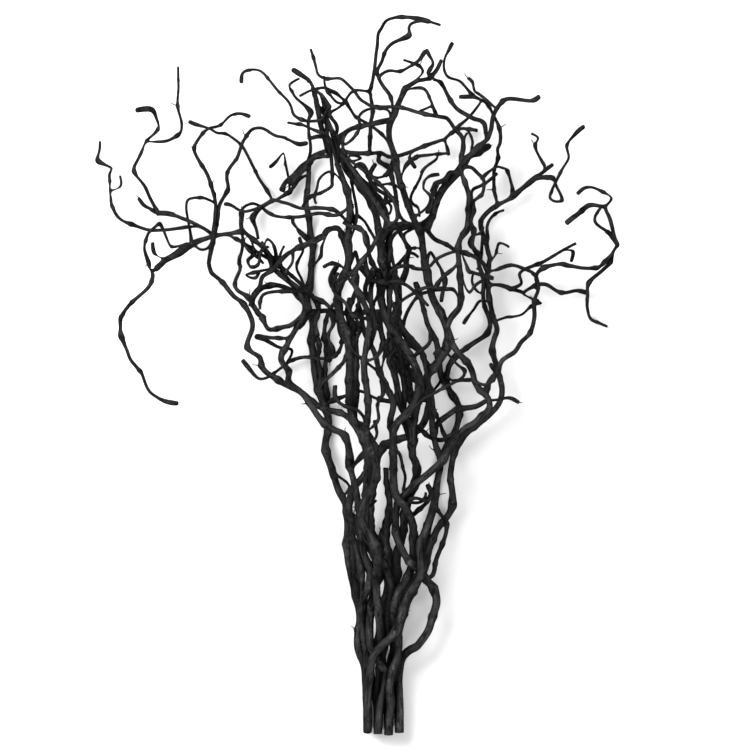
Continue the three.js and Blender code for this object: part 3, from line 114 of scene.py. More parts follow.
class NodeBench:
    """A material's node tree, with short ways to add and join its nodes."""

    def __init__(self, name: str) -> None:
        """Starts a material with nothing but its shader and output.

        Args:
            name: The finish's name.
        """
        self.material = bpy.data.materials.new(name)
        self.material.use_nodes = True
        self.tree = self.material.node_tree
        self.shader = self.tree.nodes["Principled BSDF"]

    def add(self, kind: str, **settings: object) -> bpy.types.Node:
        """Adds a node.

        Args:
            kind: The node's type name.
            settings: Its properties, by name.

        Returns:
            The new node.
        """
        node = self.tree.nodes.new(kind)
        for name, value in settings.items():
            setattr(node, name, value)
        return node

    def join(self, out: bpy.types.NodeSocket, into: bpy.types.NodeSocket) -> None:
        """Links an output to an input."""
        self.tree.links.new(out, into)

    def attribute(self, mark: Mark) -> bpy.types.Node:
        """Adds a node that reads one of the skin's marks."""
        return self.add("ShaderNodeAttribute", attribute_name=mark.value)

    def cloud(
        self, where: bpy.types.NodeSocket, scale: float, detail: float, rough: float = 0.55
    ) -> bpy.types.NodeSocket:
        """Adds a soft random pattern.

        Args:
            where: The coordinates it is laid out in.
            scale: Its number of lumps to a unit.
            detail: How many finer layers it holds.
            rough: How strong the finer layers are.

        Returns:
            The pattern's value, about 0.5 in the middle.
        """
        node = self.add("ShaderNodeTexNoise")
        node.inputs["Scale"].default_value = scale
        node.inputs["Detail"].default_value = detail
        node.inputs["Roughness"].default_value = rough
        self.join(where, node.inputs["Vector"])
        return node.outputs["Fac"]

    def remap(
        self, value: bpy.types.NodeSocket, low: float, high: float, to_low: float, to_high: float
    ) -> bpy.types.NodeSocket:
        """Stretches a value from one range to another, and holds it inside.

        Args:
            value: The value to stretch.
            low: Where the old range starts.
            high: Where the old range ends.
            to_low: What the old start becomes.
            to_high: What the old end becomes.

        Returns:
            The new value.
        """
        node = self.add("ShaderNodeMapRange", interpolation_type="SMOOTHSTEP")
        for name, number in (
            ("From Min", low),
            ("From Max", high),
            ("To Min", to_low),
            ("To Max", to_high),
        ):
            node.inputs[name].default_value = number
        self.join(value, node.inputs["Value"])
        return node.outputs["Result"]

    def work(self, operation: str, *values: object) -> bpy.types.NodeSocket:
        """Adds a sum on one or more values.

        Args:
            operation: The Math node's operation.
            values: Numbers or outputs, in order.

        Returns:
            The answer.
        """
        node = self.add("ShaderNodeMath", operation=operation)
        for place, value in zip(node.inputs, values):
            if isinstance(value, (int, float)):
                place.default_value = value
            else:
                self.join(value, place)
        return node.outputs["Value"]

    def sum_of(
        self, first: tuple[bpy.types.NodeSocket, float], second: tuple[bpy.types.NodeSocket, float]
    ) -> bpy.types.NodeSocket:
        """Adds two values, each at its own share.

        Args:
            first: A value and its share.
            second: A value and its share.

        Returns:
            The sum.
        """
        return self.work("ADD", self.work("MULTIPLY", *first), self.work("MULTIPLY", *second))

    def blend(
        self,
        share: bpy.types.NodeSocket,
        first: "tuple[float, float, float] | bpy.types.NodeSocket",
        second: "tuple[float, float, float] | bpy.types.NodeSocket",
    ) -> bpy.types.NodeSocket:
        """Mixes two colours.

        Args:
            share: How much of the second shows.
            first: A colour or an output.
            second: A colour or an output.

        Returns:
            The mixed colour.
        """
        node = self.add("ShaderNodeMix", data_type="RGBA")
        self.join(share, node.inputs["Factor"])
        for name, colour in (("A", first), ("B", second)):
            place = next(s for s in node.inputs if s.name == name and s.type == "RGBA")
            if isinstance(colour, tuple):
                place.default_value = (*colour, 1.0)
            else:
                self.join(colour, place)
        return next(s for s in node.outputs if s.type == "RGBA")

    def bump(
        self, height: bpy.types.NodeSocket, strength: float, distance: float
    ) -> bpy.types.NodeSocket:
        """Adds fine relief.

        Args:
            height: The relief's height, 0 to 1.
            strength: How much of it is felt.
            distance: How far it rises, in metres.

        Returns:
            The normal to shade with.
        """
        node = self.add("ShaderNodeBump")
        node.inputs["Strength"].default_value = strength
        node.inputs["Distance"].default_value = distance
        self.join(height, node.inputs["Height"])
        return node.outputs["Normal"]


@dataclass(frozen=True)
class BlackBark:
    """Willow bark dyed black: charcoal with deep lengthwise grain and paler scuffed ridges, with painted
    shade where the bunch hides it from light above.

    Attributes:
        deep: The dye where it lies thickest.
        charcoal: The dye on most of the bark.
        scuffed: The dye where the bark has been rubbed.
        speck: The small pores' colour.
        satin: The roughness of the smoothest bark.
        chalky: The roughness of the dullest bark.
        specular: How strongly the bark reflects.
        painted_shade_keep: The share of the colour left in the darkest painted shade, where no light from
            above gets past the other stems.
        young: The share of the colour that the thinnest twigs have.
        relief: How strongly the fine relief is felt.
        relief_height: How high the fine relief rises, in metres.
    """

    deep: tuple[float, float, float] = (0.0020, 0.0020, 0.0021)
    charcoal: tuple[float, float, float] = (0.0275, 0.0271, 0.0267)
    scuffed: tuple[float, float, float] = (0.078, 0.076, 0.072)
    speck: tuple[float, float, float] = (0.0012, 0.0012, 0.0012)
    satin: float = 0.48
    chalky: float = 0.8
    specular: float = 0.02
    painted_shade_keep: float = 0.06
    young: float = 0.55
    relief: float = 0.9
    relief_height: float = 0.0014

    def material(self) -> bpy.types.Material:
        """Makes the finish.

        Returns:
            The finish as a material.
        """
        bench = NodeBench("black_bark")
        place = bench.add("ShaderNodeTexCoord").outputs["Object"]
        grain = bench.attribute(Mark.GRAIN).outputs["Vector"]
        wear = bench.attribute(Mark.WEAR).outputs["Fac"]

        mottle = bench.cloud(place, scale=42.0, detail=4.0, rough=0.62)
        fine = bench.cloud(place, scale=420.0, detail=3.0, rough=0.6)
        streak = bench.cloud(grain, scale=2.6, detail=5.0, rough=0.68)
        body = bench.sum_of((mottle, 0.3), (streak, 0.7))
        dyed = bench.remap(body, low=0.38, high=0.56, to_low=0.0, to_high=1.0)
        colour = bench.blend(dyed, self.deep, self.charcoal)

        fleck = bench.work("MULTIPLY", bench.work("SUBTRACT", fine, 0.5), 0.9)
        ridge = bench.work("ADD", wear, fleck)
        worn = bench.remap(ridge, low=0.42, high=0.95, to_low=0.0, to_high=0.85)
        handled = bench.cloud(place, scale=85.0, detail=3.0, rough=0.7)
        patch = bench.remap(handled, low=0.44, high=0.66, to_low=0.0, to_high=1.0)
        colour = bench.blend(bench.work("MULTIPLY", worn, patch), colour, self.scuffed)

        pores = bench.add("ShaderNodeTexVoronoi", feature="F1")
        pores.inputs["Scale"].default_value = 3.4
        bench.join(grain, pores.inputs["Vector"])
        pore = bench.remap(pores.outputs["Distance"], low=0.05, high=0.16, to_low=1.0, to_high=0.0)
        colour = bench.blend(bench.work("MULTIPLY", pore, 0.8), colour, self.speck)

        # Painted shade: the colour goes towards black where little light from above reaches the bark,
        # between stems and on their sides and undersides.
        painted_light_mask = bench.attribute(Mark.PAINTED_LIGHT).outputs["Fac"]
        painted_shade_mask = bench.remap(painted_light_mask, low=0.18, high=1.05, to_low=1.0 - self.painted_shade_keep, to_high=0.0)
        colour = bench.blend(painted_shade_mask, colour, BLACK)
        young = bench.work("MULTIPLY", bench.attribute(Mark.YOUNG).outputs["Fac"], 1.0 - self.young)
        bench.join(bench.blend(young, colour, BLACK), bench.shader.inputs["Base Color"])

        rough = bench.sum_of((fine, 0.5), (mottle, 0.5))
        dull = bench.remap(rough, low=0.35, high=0.65, to_low=self.satin, to_high=self.chalky)
        bench.join(dull, bench.shader.inputs["Roughness"])
        bench.shader.inputs["Specular IOR Level"].default_value = self.specular

        raised = bench.work("ADD", streak, bench.work("MULTIPLY", fine, 0.35))
        height = bench.work("SUBTRACT", raised, bench.work("MULTIPLY", pore, 0.4))
        bench.join(bench.bump(height, self.relief, self.relief_height), bench.shader.inputs["Normal"])
        return bench.material


@dataclass(frozen=True)
class SawnEnd:
    """The sawn butt of a stem: end grain that drank the dye, with yearly rings round a pith.

    Attributes:
        ring_dark: The late wood of each ring.
        ring_pale: The early wood of each ring.
        pith: The soft middle.
        years: How many rings there are from the pith to the bark.
        roughness: How dull the end grain is.
        specular: How strongly it reflects.
    """

    ring_dark: tuple[float, float, float] = (0.012, 0.011, 0.010)
    ring_pale: tuple[float, float, float] = (0.046, 0.040, 0.034)
    pith: tuple[float, float, float] = (0.006, 0.005, 0.005)
    years: float = 4.0
    roughness: float = 0.82
    specular: float = 0.3

    def material(self) -> bpy.types.Material:
        """Makes the finish.

        Returns:
            The finish as a material.
        """
        bench = NodeBench("sawn_end")
        place = bench.add("ShaderNodeTexCoord").outputs["Object"]
        out = bench.attribute(Mark.PITH).outputs["Fac"]
        uneven = bench.cloud(place, scale=260.0, detail=2.0)
        wander = bench.work("MULTIPLY", bench.work("SUBTRACT", uneven, 0.5), 0.16)
        turn = bench.work("MULTIPLY", bench.work("ADD", out, wander), 2 * math.pi * self.years)
        ring = bench.remap(bench.work("SINE", turn), low=-0.2, high=1.0, to_low=0.0, to_high=1.0)
        fibre = bench.cloud(place, scale=1500.0, detail=3.0, rough=0.7)
        frayed = bench.remap(fibre, low=0.3, high=0.7, to_low=0.5, to_high=1.0)
        colour = bench.blend(bench.work("MULTIPLY", ring, frayed), self.ring_dark, self.ring_pale)
        in_pith = bench.remap(out, low=0.06, high=0.14, to_low=1.0, to_high=0.0)
        colour = bench.blend(in_pith, colour, self.pith)
        bench.join(colour, bench.shader.inputs["Base Color"])
        bench.shader.inputs["Roughness"].default_value = self.roughness
        bench.shader.inputs["Specular IOR Level"].default_value = self.specular
        height = bench.work("ADD", fibre, bench.work("MULTIPLY", ring, 0.5))
        bench.join(bench.bump(height, strength=0.5, distance=0.0005), bench.shader.inputs["Normal"])
        return bench.material


@dataclass(frozen=True)
class PaleFloor:
    """The floor's plain matt white.

    Attributes:
        paint: Its colour.
        shade: How dark its darkest patches are, as a share of the colour.
        roughness: How dull it is.
        specular: How strongly it reflects.
    """

    paint: tuple[float, float, float] = (0.62, 0.62, 0.62)
    shade: float = 0.985
    roughness: float = 0.9
    specular: float = 0.1

    def material(self) -> bpy.types.Material:
        """Makes the finish.

        Returns:
            The finish as a material.
        """
        bench = NodeBench("pale_floor")
        place = bench.add("ShaderNodeTexCoord").outputs["Object"]
        darker = tuple(self.shade * c for c in self.paint)
        colour = bench.blend(bench.cloud(place, scale=0.8, detail=2.0), self.paint, darker)
        bench.join(colour, bench.shader.inputs["Base Color"])
        bench.shader.inputs["Roughness"].default_value = self.roughness
        bench.shader.inputs["Specular IOR Level"].default_value = self.specular
        return bench.material


# ---- The stems ----


@dataclass(frozen=True)
class BarkRelief:
    """How the skin of a stem swells, furrows and wrinkles.

    Attributes:
        swell: Slow swelling, as a share of the girth.
        swell_length: How long a swelling is, in metres.
        swell_turns: How much a swelling changes round a stem.
        furrow: Lengthwise furrows, as a share of the girth.
        furrow_turns: How many furrows there are round a stem, roughly.
        furrow_length: How long a furrow is, in metres.
        wrinkle: The fine wrinkles' height, in metres.
        wrinkle_most: The most that a wrinkle may be, as a share of the girth.
        wrinkle_turns: How many wrinkles there are round a stem, roughly.
        wrinkle_length: How long a wrinkle is, in metres.
        knuckle: The swelling under a bud, as a share of the girth.
        knuckle_length: How long that swelling is, in girths.
        knuckle_reach: How far it can be felt, in girths.
        waist: How much slimmer the wood is just above the flared butt, as a share of the girth.
        flare_length: How long the flare is, in metres.
        waist_length: How far up the waist can be seen, in metres.
    """

    swell: float = 0.085
    swell_length: float = 0.024
    swell_turns: float = 0.55
    furrow: float = 0.075
    furrow_turns: float = 1.7
    furrow_length: float = 0.07
    wrinkle: float = 0.00022
    wrinkle_most: float = 0.06
    wrinkle_turns: float = 5.0
    wrinkle_length: float = 0.009
    knuckle: float = 0.28
    knuckle_length: float = 0.9
    knuckle_reach: float = 4.0
    waist: float = 0.13
    flare_length: float = 0.016
    waist_length: float = 0.16

    def height(self, centre: Vector, out: Vector, girth: float) -> tuple[float, float]:
        """Works out how far the skin rises at one place.

        Args:
            centre: The middle of the stem there, moved apart for each stem.
            out: The direction from the middle to the skin.
            girth: The stem's radius there.

        Returns:
            The rise in metres, and the same as a share of what it could be.
        """
        slow = noise.noise(centre / self.swell_length + out * self.swell_turns)
        long = noise.noise(out * self.furrow_turns + centre / self.furrow_length)
        fine = noise.noise(out * self.wrinkle_turns + centre / self.wrinkle_length)
        wrinkle = min(self.wrinkle, self.wrinkle_most * girth)
        rise = girth * (self.swell * slow + self.furrow * long) + wrinkle * fine
        return rise, 0.5 + 0.35 * long + 0.3 * fine + 0.15 * slow

    def butt_flare(self, up: np.ndarray) -> np.ndarray:
        """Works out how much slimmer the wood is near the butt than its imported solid.

        Args:
            up: Distances from the sawn end, in metres.

        Returns:
            The change at each distance, as a share of the girth.
        """
        above_flare = 1 - np.exp(-up / self.flare_length)
        return -self.waist * above_flare * np.exp(-((up / self.waist_length) ** 2))


@dataclass(frozen=True)
class BudHabit:
    """Where buds and spurs sit on a stem, and how big they are.

    Attributes:
        spacing: The least distance between two buds, in metres.
        thinnest: The thinnest wood that bears them, in metres.
        thickest: The thickest wood that bears buds, in metres.
        lean: How closely a bud lies along its stem, 0 to 1.
        spur_share: The share of the places that bear a broken spur.
        bud_length: The middling length of a bud, in metres.
        spur_length: The middling length of a spur, in metres.
        spur_lean: How closely a spur lies along its stem, 0 to 1.
        spur_wood: The thinnest wood that bears a spur, in metres.
        spread: The shortest and the longest of them, against the middling one.
        bud_width: The widest bud, in metres.
        spur_width: The widest spur, in metres.
    """

    spacing: float = 0.026
    thinnest: float = 0.0013
    thickest: float = 0.0062
    lean: float = 0.8
    spur_share: float = 0.2
    bud_length: float = 0.0042
    spur_length: float = 0.010
    spur_lean: float = 0.35
    spur_wood: float = 0.002
    spread: tuple[float, float] = (0.6, 1.35)
    bud_width: float = 0.0013
    spur_width: float = 0.0011


class Cage:
    """The plain skin of a packed stem, as an even net of four-sided faces.

    Attributes:
        WELD: Corners nearer than this are one corner, in metres.
        FLAT: Faces that meet at less than this angle lie flat.
        TILTS: The three ways that a look into the wood leans, so that it meets no edge.
        DEEPEST: More than the thickest wood, in metres.
        TAPER: How much thicker a corner may be than its slimmest neighbour.
    """

    WELD = 1e-5
    FLAT = math.radians(0.3)
    TILTS = (Vector((0.03, 0.02, -0.01)), Vector((-0.02, 0.03, 0.02)), Vector((0.01, -0.03, 0.02)))
    DEEPEST = 0.03
    TAPER = 1.15

    def __init__(self, node: bpy.types.Object) -> None:
        """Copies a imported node's mesh and makes it an even net.

        Args:
            node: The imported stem, which is left as it is.
        """
        self.bm = bmesh.new()
        self.bm.from_mesh(node.data)
        for layers in (self.bm.loops.layers.uv, self.bm.verts.layers.float_vector):
            for layer in list(layers.values()):
                layers.remove(layer)
        bmesh.ops.remove_doubles(self.bm, verts=self.bm.verts, dist=self.WELD)
        self._drop_diagonals()
        self._drop_flat_edges()
        self.bm.normal_update()
        self.bm.verts.index_update()
        self.bm.verts.ensure_lookup_table()
        self.butt = self._find_butt()

    def _drop_diagonals(self) -> None:
        """Takes out each edge that is the longest side of both its triangles."""
        longest = {face: max(face.edges, key=lambda e: e.calc_length()) for face in self.bm.faces}
        extra = [
            edge
            for edge in self.bm.edges
            if len(edge.link_faces) == 2 and all(longest[face] is edge for face in edge.link_faces)
        ]
        bmesh.ops.dissolve_edges(self.bm, edges=extra, use_verts=False, use_face_split=False)

    def _drop_flat_edges(self) -> None:
        """Takes out the edges left inside flat ends."""
        extra = [
            edge
            for edge in self.bm.edges
            if len(edge.link_faces) == 2
            and edge.calc_face_angle(0.0) < self.FLAT
            and any(len(face.verts) == 3 for face in edge.link_faces)
        ]
        bmesh.ops.dissolve_edges(self.bm, edges=extra, use_verts=False, use_face_split=False)

    def _find_butt(self) -> bmesh.types.BMFace:
        """Returns the sawn face: the flat end that is nearest the low end of the bunch."""
        ends = [face for face in self.bm.faces if len(face.verts) > 4]
        return min(ends, key=lambda face: face.calc_center_median().y)

    def measure(self) -> None:
        """Notes at each corner the middle of the wood behind it and the wood's radius."""
        tree = BVHTree.FromBMesh(self.bm)
        count = len(self.bm.verts)
        girth = np.full(count, np.nan)
        for vert in self.bm.verts:
            spans = []
            for tilt in self.TILTS:
                inwards = (tilt - vert.normal).normalized()
                hit = tree.ray_cast(vert.co + inwards * self.WELD, inwards, self.DEEPEST)
                if hit[0] is not None:
                    spans.append(hit[3])
            if spans:
                girth[vert.index] = 0.5 * sorted(spans)[len(spans) // 2]
        girth = np.where(np.isnan(girth), np.nanmedian(girth), girth)
        pairs = np.array([[v.index for v in e.verts] for e in self.bm.edges])
        for _ in range(3):
            least = girth.copy()
            for one, other in ((0, 1), (1, 0)):
                np.minimum.at(least, pairs[:, one], girth[pairs[:, other]])
            girth = np.minimum(girth, self.TAPER * least)
        spot = np.array([v.co - v.normal * girth[v.index] for v in self.bm.verts])
        for _ in range(2):
            girth, spot = self._even(girth, pairs), self._even(spot, pairs)
        middle = self.bm.verts.layers.float_vector.new(Mark.CENTRE.value)
        radius = self.bm.verts.layers.float.new(Mark.GIRTH.value)
        for vert in self.bm.verts:
            vert[middle] = Vector(spot[vert.index])
            vert[radius] = float(girth[vert.index])
        self.spot, self.girth, self.pairs = spot, girth, pairs

    def measure_painted_light(
        self, clear: BVHTree, reach: float = 0.03, looks: int = 16, gap: float = 0.0012, gain: float = 1.5
    ) -> None:
        """Notes at each corner, from 0 to 1, how much light from above reaches it past the bunch: the
        mark for painted shade.

        Args:
            clear: Finds the wood near a place, over the whole bunch.
            reach: How far other wood still throws painted shade on it, in metres.
            looks: How many ways are looked along.
            gap: How far off the skin a look starts, in metres.
            gain: How much the painted light is raised, so that the least hidden wood has 1.
        """
        painted_light_layer = self.bm.verts.layers.float.new(Mark.PAINTED_LIGHT.value)
        for vert in self.bm.verts:
            side = vert.normal.orthogonal().normalized()
            over = vert.normal.cross(side)
            start = vert.co + vert.normal * gap
            light = 0.0
            for look in range(looks):
                spread = math.sqrt((look + 0.5) / looks) * 0.97
                turn = GOLDEN_TURN * look
                flat = side * math.cos(turn) + over * math.sin(turn)
                way = flat * spread + vert.normal * math.sqrt(1 - spread * spread)
                # Light from above counts by how steeply it falls, so tops stay lightest and sides and
                # undersides get painted shade.
                if way.z > 0 and clear.ray_cast(start, way, reach)[0] is None:
                    light += way.z
            vert[painted_light_layer] = min(1.0, gain * light / looks)

    @staticmethod
    def _even(values: np.ndarray, pairs: np.ndarray) -> np.ndarray:
        """Averages each corner's value with its neighbours'.

        Args:
            values: One value or one place for each corner.
            pairs: The two corners of each edge.

        Returns:
            The evened values.
        """
        total, count = values.copy(), np.ones(len(values))
        for one, other in ((0, 1), (1, 0)):
            np.add.at(total, pairs[:, one], values[pairs[:, other]])
            np.add.at(count, pairs[:, one], 1.0)
        return total / (count[:, None] if values.ndim > 1 else count)

    def hold_corners(self, rounds: int = 7) -> None:
        """Moves the corners out, so that the smooth skin passes where they are now.

        Args:
            rounds: How many times the miss is measured and made up.
        """
        place = np.array([v.co for v in self.bm.verts])
        target, pairs = place.copy(), self.pairs
        corner = np.array([v.index for face in self.bm.faces for v in face.verts])
        sides = [len(face.verts) for face in self.bm.faces]
        owner = np.repeat(np.arange(len(sides)), sides)
        size = np.bincount(owner)[:, None]
        links = np.bincount(pairs.ravel())[:, None].astype(float)
        rim = [v.index for v in self.butt.verts]
        for _ in range(rounds):
            middle = np.zeros((len(size), 3))
            near, round_about = np.zeros_like(place), np.zeros_like(place)
            np.add.at(middle, owner, place[corner])
            middle /= size
            np.add.at(near, pairs[:, 0], place[pairs[:, 1]])
            np.add.at(near, pairs[:, 1], place[pairs[:, 0]])
            np.add.at(round_about, corner, middle[owner])
            # Where each corner would come to rest if its faces were divided without end.
            smooth = ((links - 1) * links * place + 2 * near + 4 * round_about) / (links * (links + 5))
            smooth[rim] = (4 * place[rim] + place[np.roll(rim, 1)] + place[np.roll(rim, -1)]) / 6
            place += target - smooth
        for vert in self.bm.verts:
            vert.co = place[vert.index]

    def smooth_skin(self, name: str, levels: int) -> bpy.types.Mesh:
        """Makes the smooth skin.

        Args:
            name: The new mesh's name.
            levels: How many times each face is divided.

        Returns:
            The smooth skin, with the cage's marks on it.
        """
        crease = self.bm.edges.layers.float.new("crease_edge")
        for edge in self.butt.edges:
            edge[crease] = 1.0
        self.butt.material_index = Face.SAWN.value
        mesh = bpy.data.meshes.new(name + "_cage")
        self.bm.to_mesh(mesh)
        holder = bpy.data.objects.new(name + "_cage", mesh)
        bpy.context.scene.collection.objects.link(holder)
        modifier = holder.modifiers.new("skin", "SUBSURF")
        modifier.levels = modifier.render_levels = levels
        evaluated = holder.evaluated_get(bpy.context.evaluated_depsgraph_get())
        skin = bpy.data.meshes.new_from_object(evaluated)
        skin.name = name
        bpy.data.objects.remove(holder)
        bpy.data.meshes.remove(mesh)
        return skin


@dataclass
class WillowStem:
    """One curly willow stem with all its own side branches, from the sawn butt to the tips.

    Attributes:
        name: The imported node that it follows.
        order: Its place in the bunch, which gives it a look of its own.
        clear: Finds what stands near a place, over the whole bunch.
        relief: How its bark rises.
        habit: How it bears buds and spurs.
        fineness: How many times each face of its cage is divided.
        rim_ease: How far the saw's edge is rounded off, in metres.
    """

    name: str
    order: int
    clear: BVHTree
    relief: BarkRelief = field(default_factory=BarkRelief)
    habit: BudHabit = field(default_factory=BudHabit)
    fineness: int = 3
    rim_ease: float = 0.0007

    def build(self, finishes: list[bpy.types.Material]) -> bpy.types.Object:
        """Makes the stem.

        Args:
            finishes: The bark and the sawn wood, in slot order.

        Returns:
            The finished piece.
        """
        self.chance = random.Random(SEED_STEP * self.order + SEED_START)
        self.apart = Vector(step * self.order for step in APART)
        cage = Cage(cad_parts[self.name])
        cage.measure()
        # The painted shade of the bark: how much light from above each corner gets past the whole bunch.
        cage.measure_painted_light(self.clear)
        places = self._bud_places(cage)
        butt_middle = cage.butt.calc_center_median()
        butt_girth = max((v.co - butt_middle).length for v in cage.butt.verts)
        cage.hold_corners()
        mesh = cage.smooth_skin(self.name + "_bark", self.fineness)
        cage.bm.free()
        self._raise_bark(mesh, places, butt_middle)
        self._finish_skin(mesh, places, butt_middle, butt_girth)
        for finish in finishes:
            mesh.materials.append(finish)
        stem = bpy.data.objects.new(self.name + "_bark", mesh)
        bpy.context.scene.collection.objects.link(stem)
        return stem

    def _bud_places(self, cage: Cage) -> list[tuple[Vector, Vector, Vector, float]]:
        """Chooses where the buds sit.

        Args:
            cage: The measured cage.

        Returns:
            For each bud, the middle of the wood, the way out, the way to the tip and the radius.
        """
        run = self._run(cage)
        order = list(range(len(cage.bm.verts)))
        self.chance.shuffle(order)
        kept: list[int] = []
        for index in order:
            vert = cage.bm.verts[index]
            girth = cage.girth[index]
            if len(vert.link_edges) != 4 or not self.habit.thinnest < girth < self.habit.thickest:
                continue
            spot = cage.spot[index]
            if all(np.linalg.norm(spot - cage.spot[other]) > self.habit.spacing for other in kept):
                kept.append(index)
        places = []
        for index in kept:
            vert = cage.bm.verts[index]
            tip = Vector((0.0, 0.0, 0.0))
            for edge in vert.link_edges:
                other = edge.other_vert(vert)
                step = Vector(cage.spot[other.index] - cage.spot[index])
                tip += step if run[other.index] > run[index] else -step
            middle = Vector(cage.spot[index])
            out = (vert.co - middle).normalized()
            tip -= out * tip.dot(out)
            if tip.length > 1e-6:
                places.append((middle, out, tip.normalized(), (vert.co - middle).length))
        return places

    @staticmethod
    def _run(cage: Cage) -> list[float]:
        """Measures along the wood from the butt.

        Args:
            cage: The measured cage.

        Returns:
            Each corner's distance, in metres.
        """
        run = [math.inf] * len(cage.bm.verts)
        front = []
        for vert in cage.butt.verts:
            run[vert.index] = 0.0
            front.append(vert)
        while front:
            following = []
            for vert in front:
                for edge in vert.link_edges:
                    other = edge.other_vert(vert)
                    reach = run[vert.index] + edge.calc_length()
                    if reach < run[other.index] - 1e-6:
                        run[other.index] = reach
                        following.append(other)
            front = following
        return run

    def _raise_bark(self, mesh: bpy.types.Mesh, places: list, butt_middle: Vector) -> None:
        """Moves the smooth skin to the height of the bark and marks its grain and wear.

        Args:
            mesh: The stem's skin.
            places: Where the buds sit.
            butt_middle: The middle of the sawn face.
        """
        count = len(mesh.vertices)
        place, normal, middle = (np.empty(count * 3, np.float32) for _ in range(3))
        girth = np.empty(count, np.float32)
        mesh.vertices.foreach_get("co", place)
        mesh.vertices.foreach_get("normal", normal)
        mesh.attributes[Mark.CENTRE.value].data.foreach_get("vector", middle)
        mesh.attributes[Mark.GIRTH.value].data.foreach_get("value", girth)
        place, normal, middle = (values.reshape(-1, 3) for values in (place, normal, middle))
        out = place - middle
        out /= np.maximum(np.linalg.norm(out, axis=1, keepdims=True), 1e-6)
        rise, wear = np.empty(count, np.float32), np.empty(count, np.float32)
        for i in range(count):
            centre = Vector(middle[i]) + self.apart
            rise[i], wear[i] = self.relief.height(centre, Vector(out[i]), float(girth[i]))
        for centre, _, tip, radius in places:
            away = place - np.array(centre, np.float32)
            near = np.flatnonzero((away**2).sum(axis=1) < (self.relief.knuckle_reach * radius) ** 2)
            along = away[near] @ np.array(tip, np.float32)
            hump = np.exp(-((along / (self.relief.knuckle_length * radius)) ** 2))
            rise[near] += self.relief.knuckle * radius * hump
        from_butt = np.linalg.norm(middle - np.array(butt_middle, np.float32), axis=1)
        rise += girth * self.relief.butt_flare(from_butt)
        place += normal * rise[:, None]
        place[:, 2] = np.maximum(place[:, 2], 0.0)
        mesh.vertices.foreach_set("co", place.ravel())
        grain = out + middle / GRAIN_LENGTH + np.array(self.apart, np.float32)
        marked = mesh.attributes.new(Mark.GRAIN.value, "FLOAT_VECTOR", "POINT")
        marked.data.foreach_set("vector", grain.ravel())
        young = np.clip((OLD_GIRTH - girth) / (OLD_GIRTH - YOUNG_GIRTH), 0.0, 1.0)
        for mark, values in ((Mark.WEAR, wear), (Mark.YOUNG, young)):
            mesh.attributes.new(mark.value, "FLOAT", "POINT").data.foreach_set("value", values)
        for mark in (Mark.CENTRE, Mark.GIRTH):
            mesh.attributes.remove(mesh.attributes[mark.value])
        mesh.update()

    def _finish_skin(
        self, mesh: bpy.types.Mesh, places: list, butt_middle: Vector, butt_girth: float
    ) -> None:
        """Eases the sawn rim and adds the buds and spurs.

        Args:
            mesh: The stem's skin.
            places: Where the buds sit.
            butt_middle: The middle of the sawn face.
            butt_girth: The sawn face's radius.
        """
        bm = bmesh.new()
        bm.from_mesh(mesh)
        rim = [
            edge
            for edge in bm.edges
            if len({face.material_index for face in edge.link_faces}) == 2
        ]
        bmesh.ops.bevel(
            bm,
            geom=rim,
            offset=self.rim_ease,
            offset_type="OFFSET",
            segments=2,
            profile=0.5,
            affect="EDGES",
            material=-1,
        )
        pith = bm.verts.layers.float.new(Mark.PITH.value)
        for vert in bm.verts:
            vert[pith] = (vert.co - butt_middle).length / butt_girth
        trim = self._trim(places)
        bm.from_mesh(trim)
        bpy.data.meshes.remove(trim)
        for face in bm.faces:
            face.smooth = True
        bm.to_mesh(mesh)
        bm.free()

    def _trim(self, places: list) -> bpy.types.Mesh:
        """Makes all the buds and spurs.

        Args:
            places: Where they sit.

        Returns:
            One mesh that holds them.
        """
        bm = bmesh.new()
        bm.verts.layers.float_vector.new(Mark.GRAIN.value)
        for mark in (Mark.WEAR, Mark.PAINTED_LIGHT, Mark.YOUNG):
            bm.verts.layers.float.new(mark.value)
        for place in places:
            self._bear(bm, *place)
        trim = bpy.data.meshes.new(self.name + "_trim")
        bm.to_mesh(trim)
        bm.free()
        return trim

    def _bear(
        self, bm: bmesh.types.BMesh, middle: Vector, out: Vector, tip: Vector, radius: float
    ) -> None:
        """Adds one bud or one broken spur where there is room for it.

        Args:
            bm: The mesh that it joins.
            middle: The middle of the wood there.
            out: The way out of the wood.
            tip: The way to the stem's tip.
            radius: The wood's radius.
        """
        habit = self.habit
        is_spur = self.chance.random() < habit.spur_share and radius > habit.spur_wood
        length = habit.spur_length if is_spur else habit.bud_length
        length *= self.chance.uniform(*habit.spread)
        lean = habit.spur_lean if is_spur else habit.lean
        way = (out * (1 - lean) + tip * lean).normalized()
        foot = middle + out * radius * 0.8
        hit = self.clear.ray_cast(middle + out * radius * 1.08, way, length * 1.4)
        if hit[0] is not None or foot.z + way.z * length < 0.0005:
            return
        side = way.cross(out).normalized()
        turn = Matrix((side, way.cross(side), way)).transposed().to_4x4()
        turn.translation = foot
        if is_spur:
            made = Spur(length, min(habit.spur_width, 0.4 * radius)).grow(bm, self.chance)
        else:
            made = Bud(length, min(habit.bud_width, 0.26 * radius + 0.0004)).grow(bm)
        bmesh.ops.transform(bm, matrix=turn, verts=made)
        grain = bm.verts.layers.float_vector[Mark.GRAIN.value]
        for vert in made:
            vert[grain] = vert.co / BUD_GRAIN_LENGTH + self.apart
            for mark, value in BUD_MARKS:
                vert[bm.verts.layers.float[mark.value]] = value


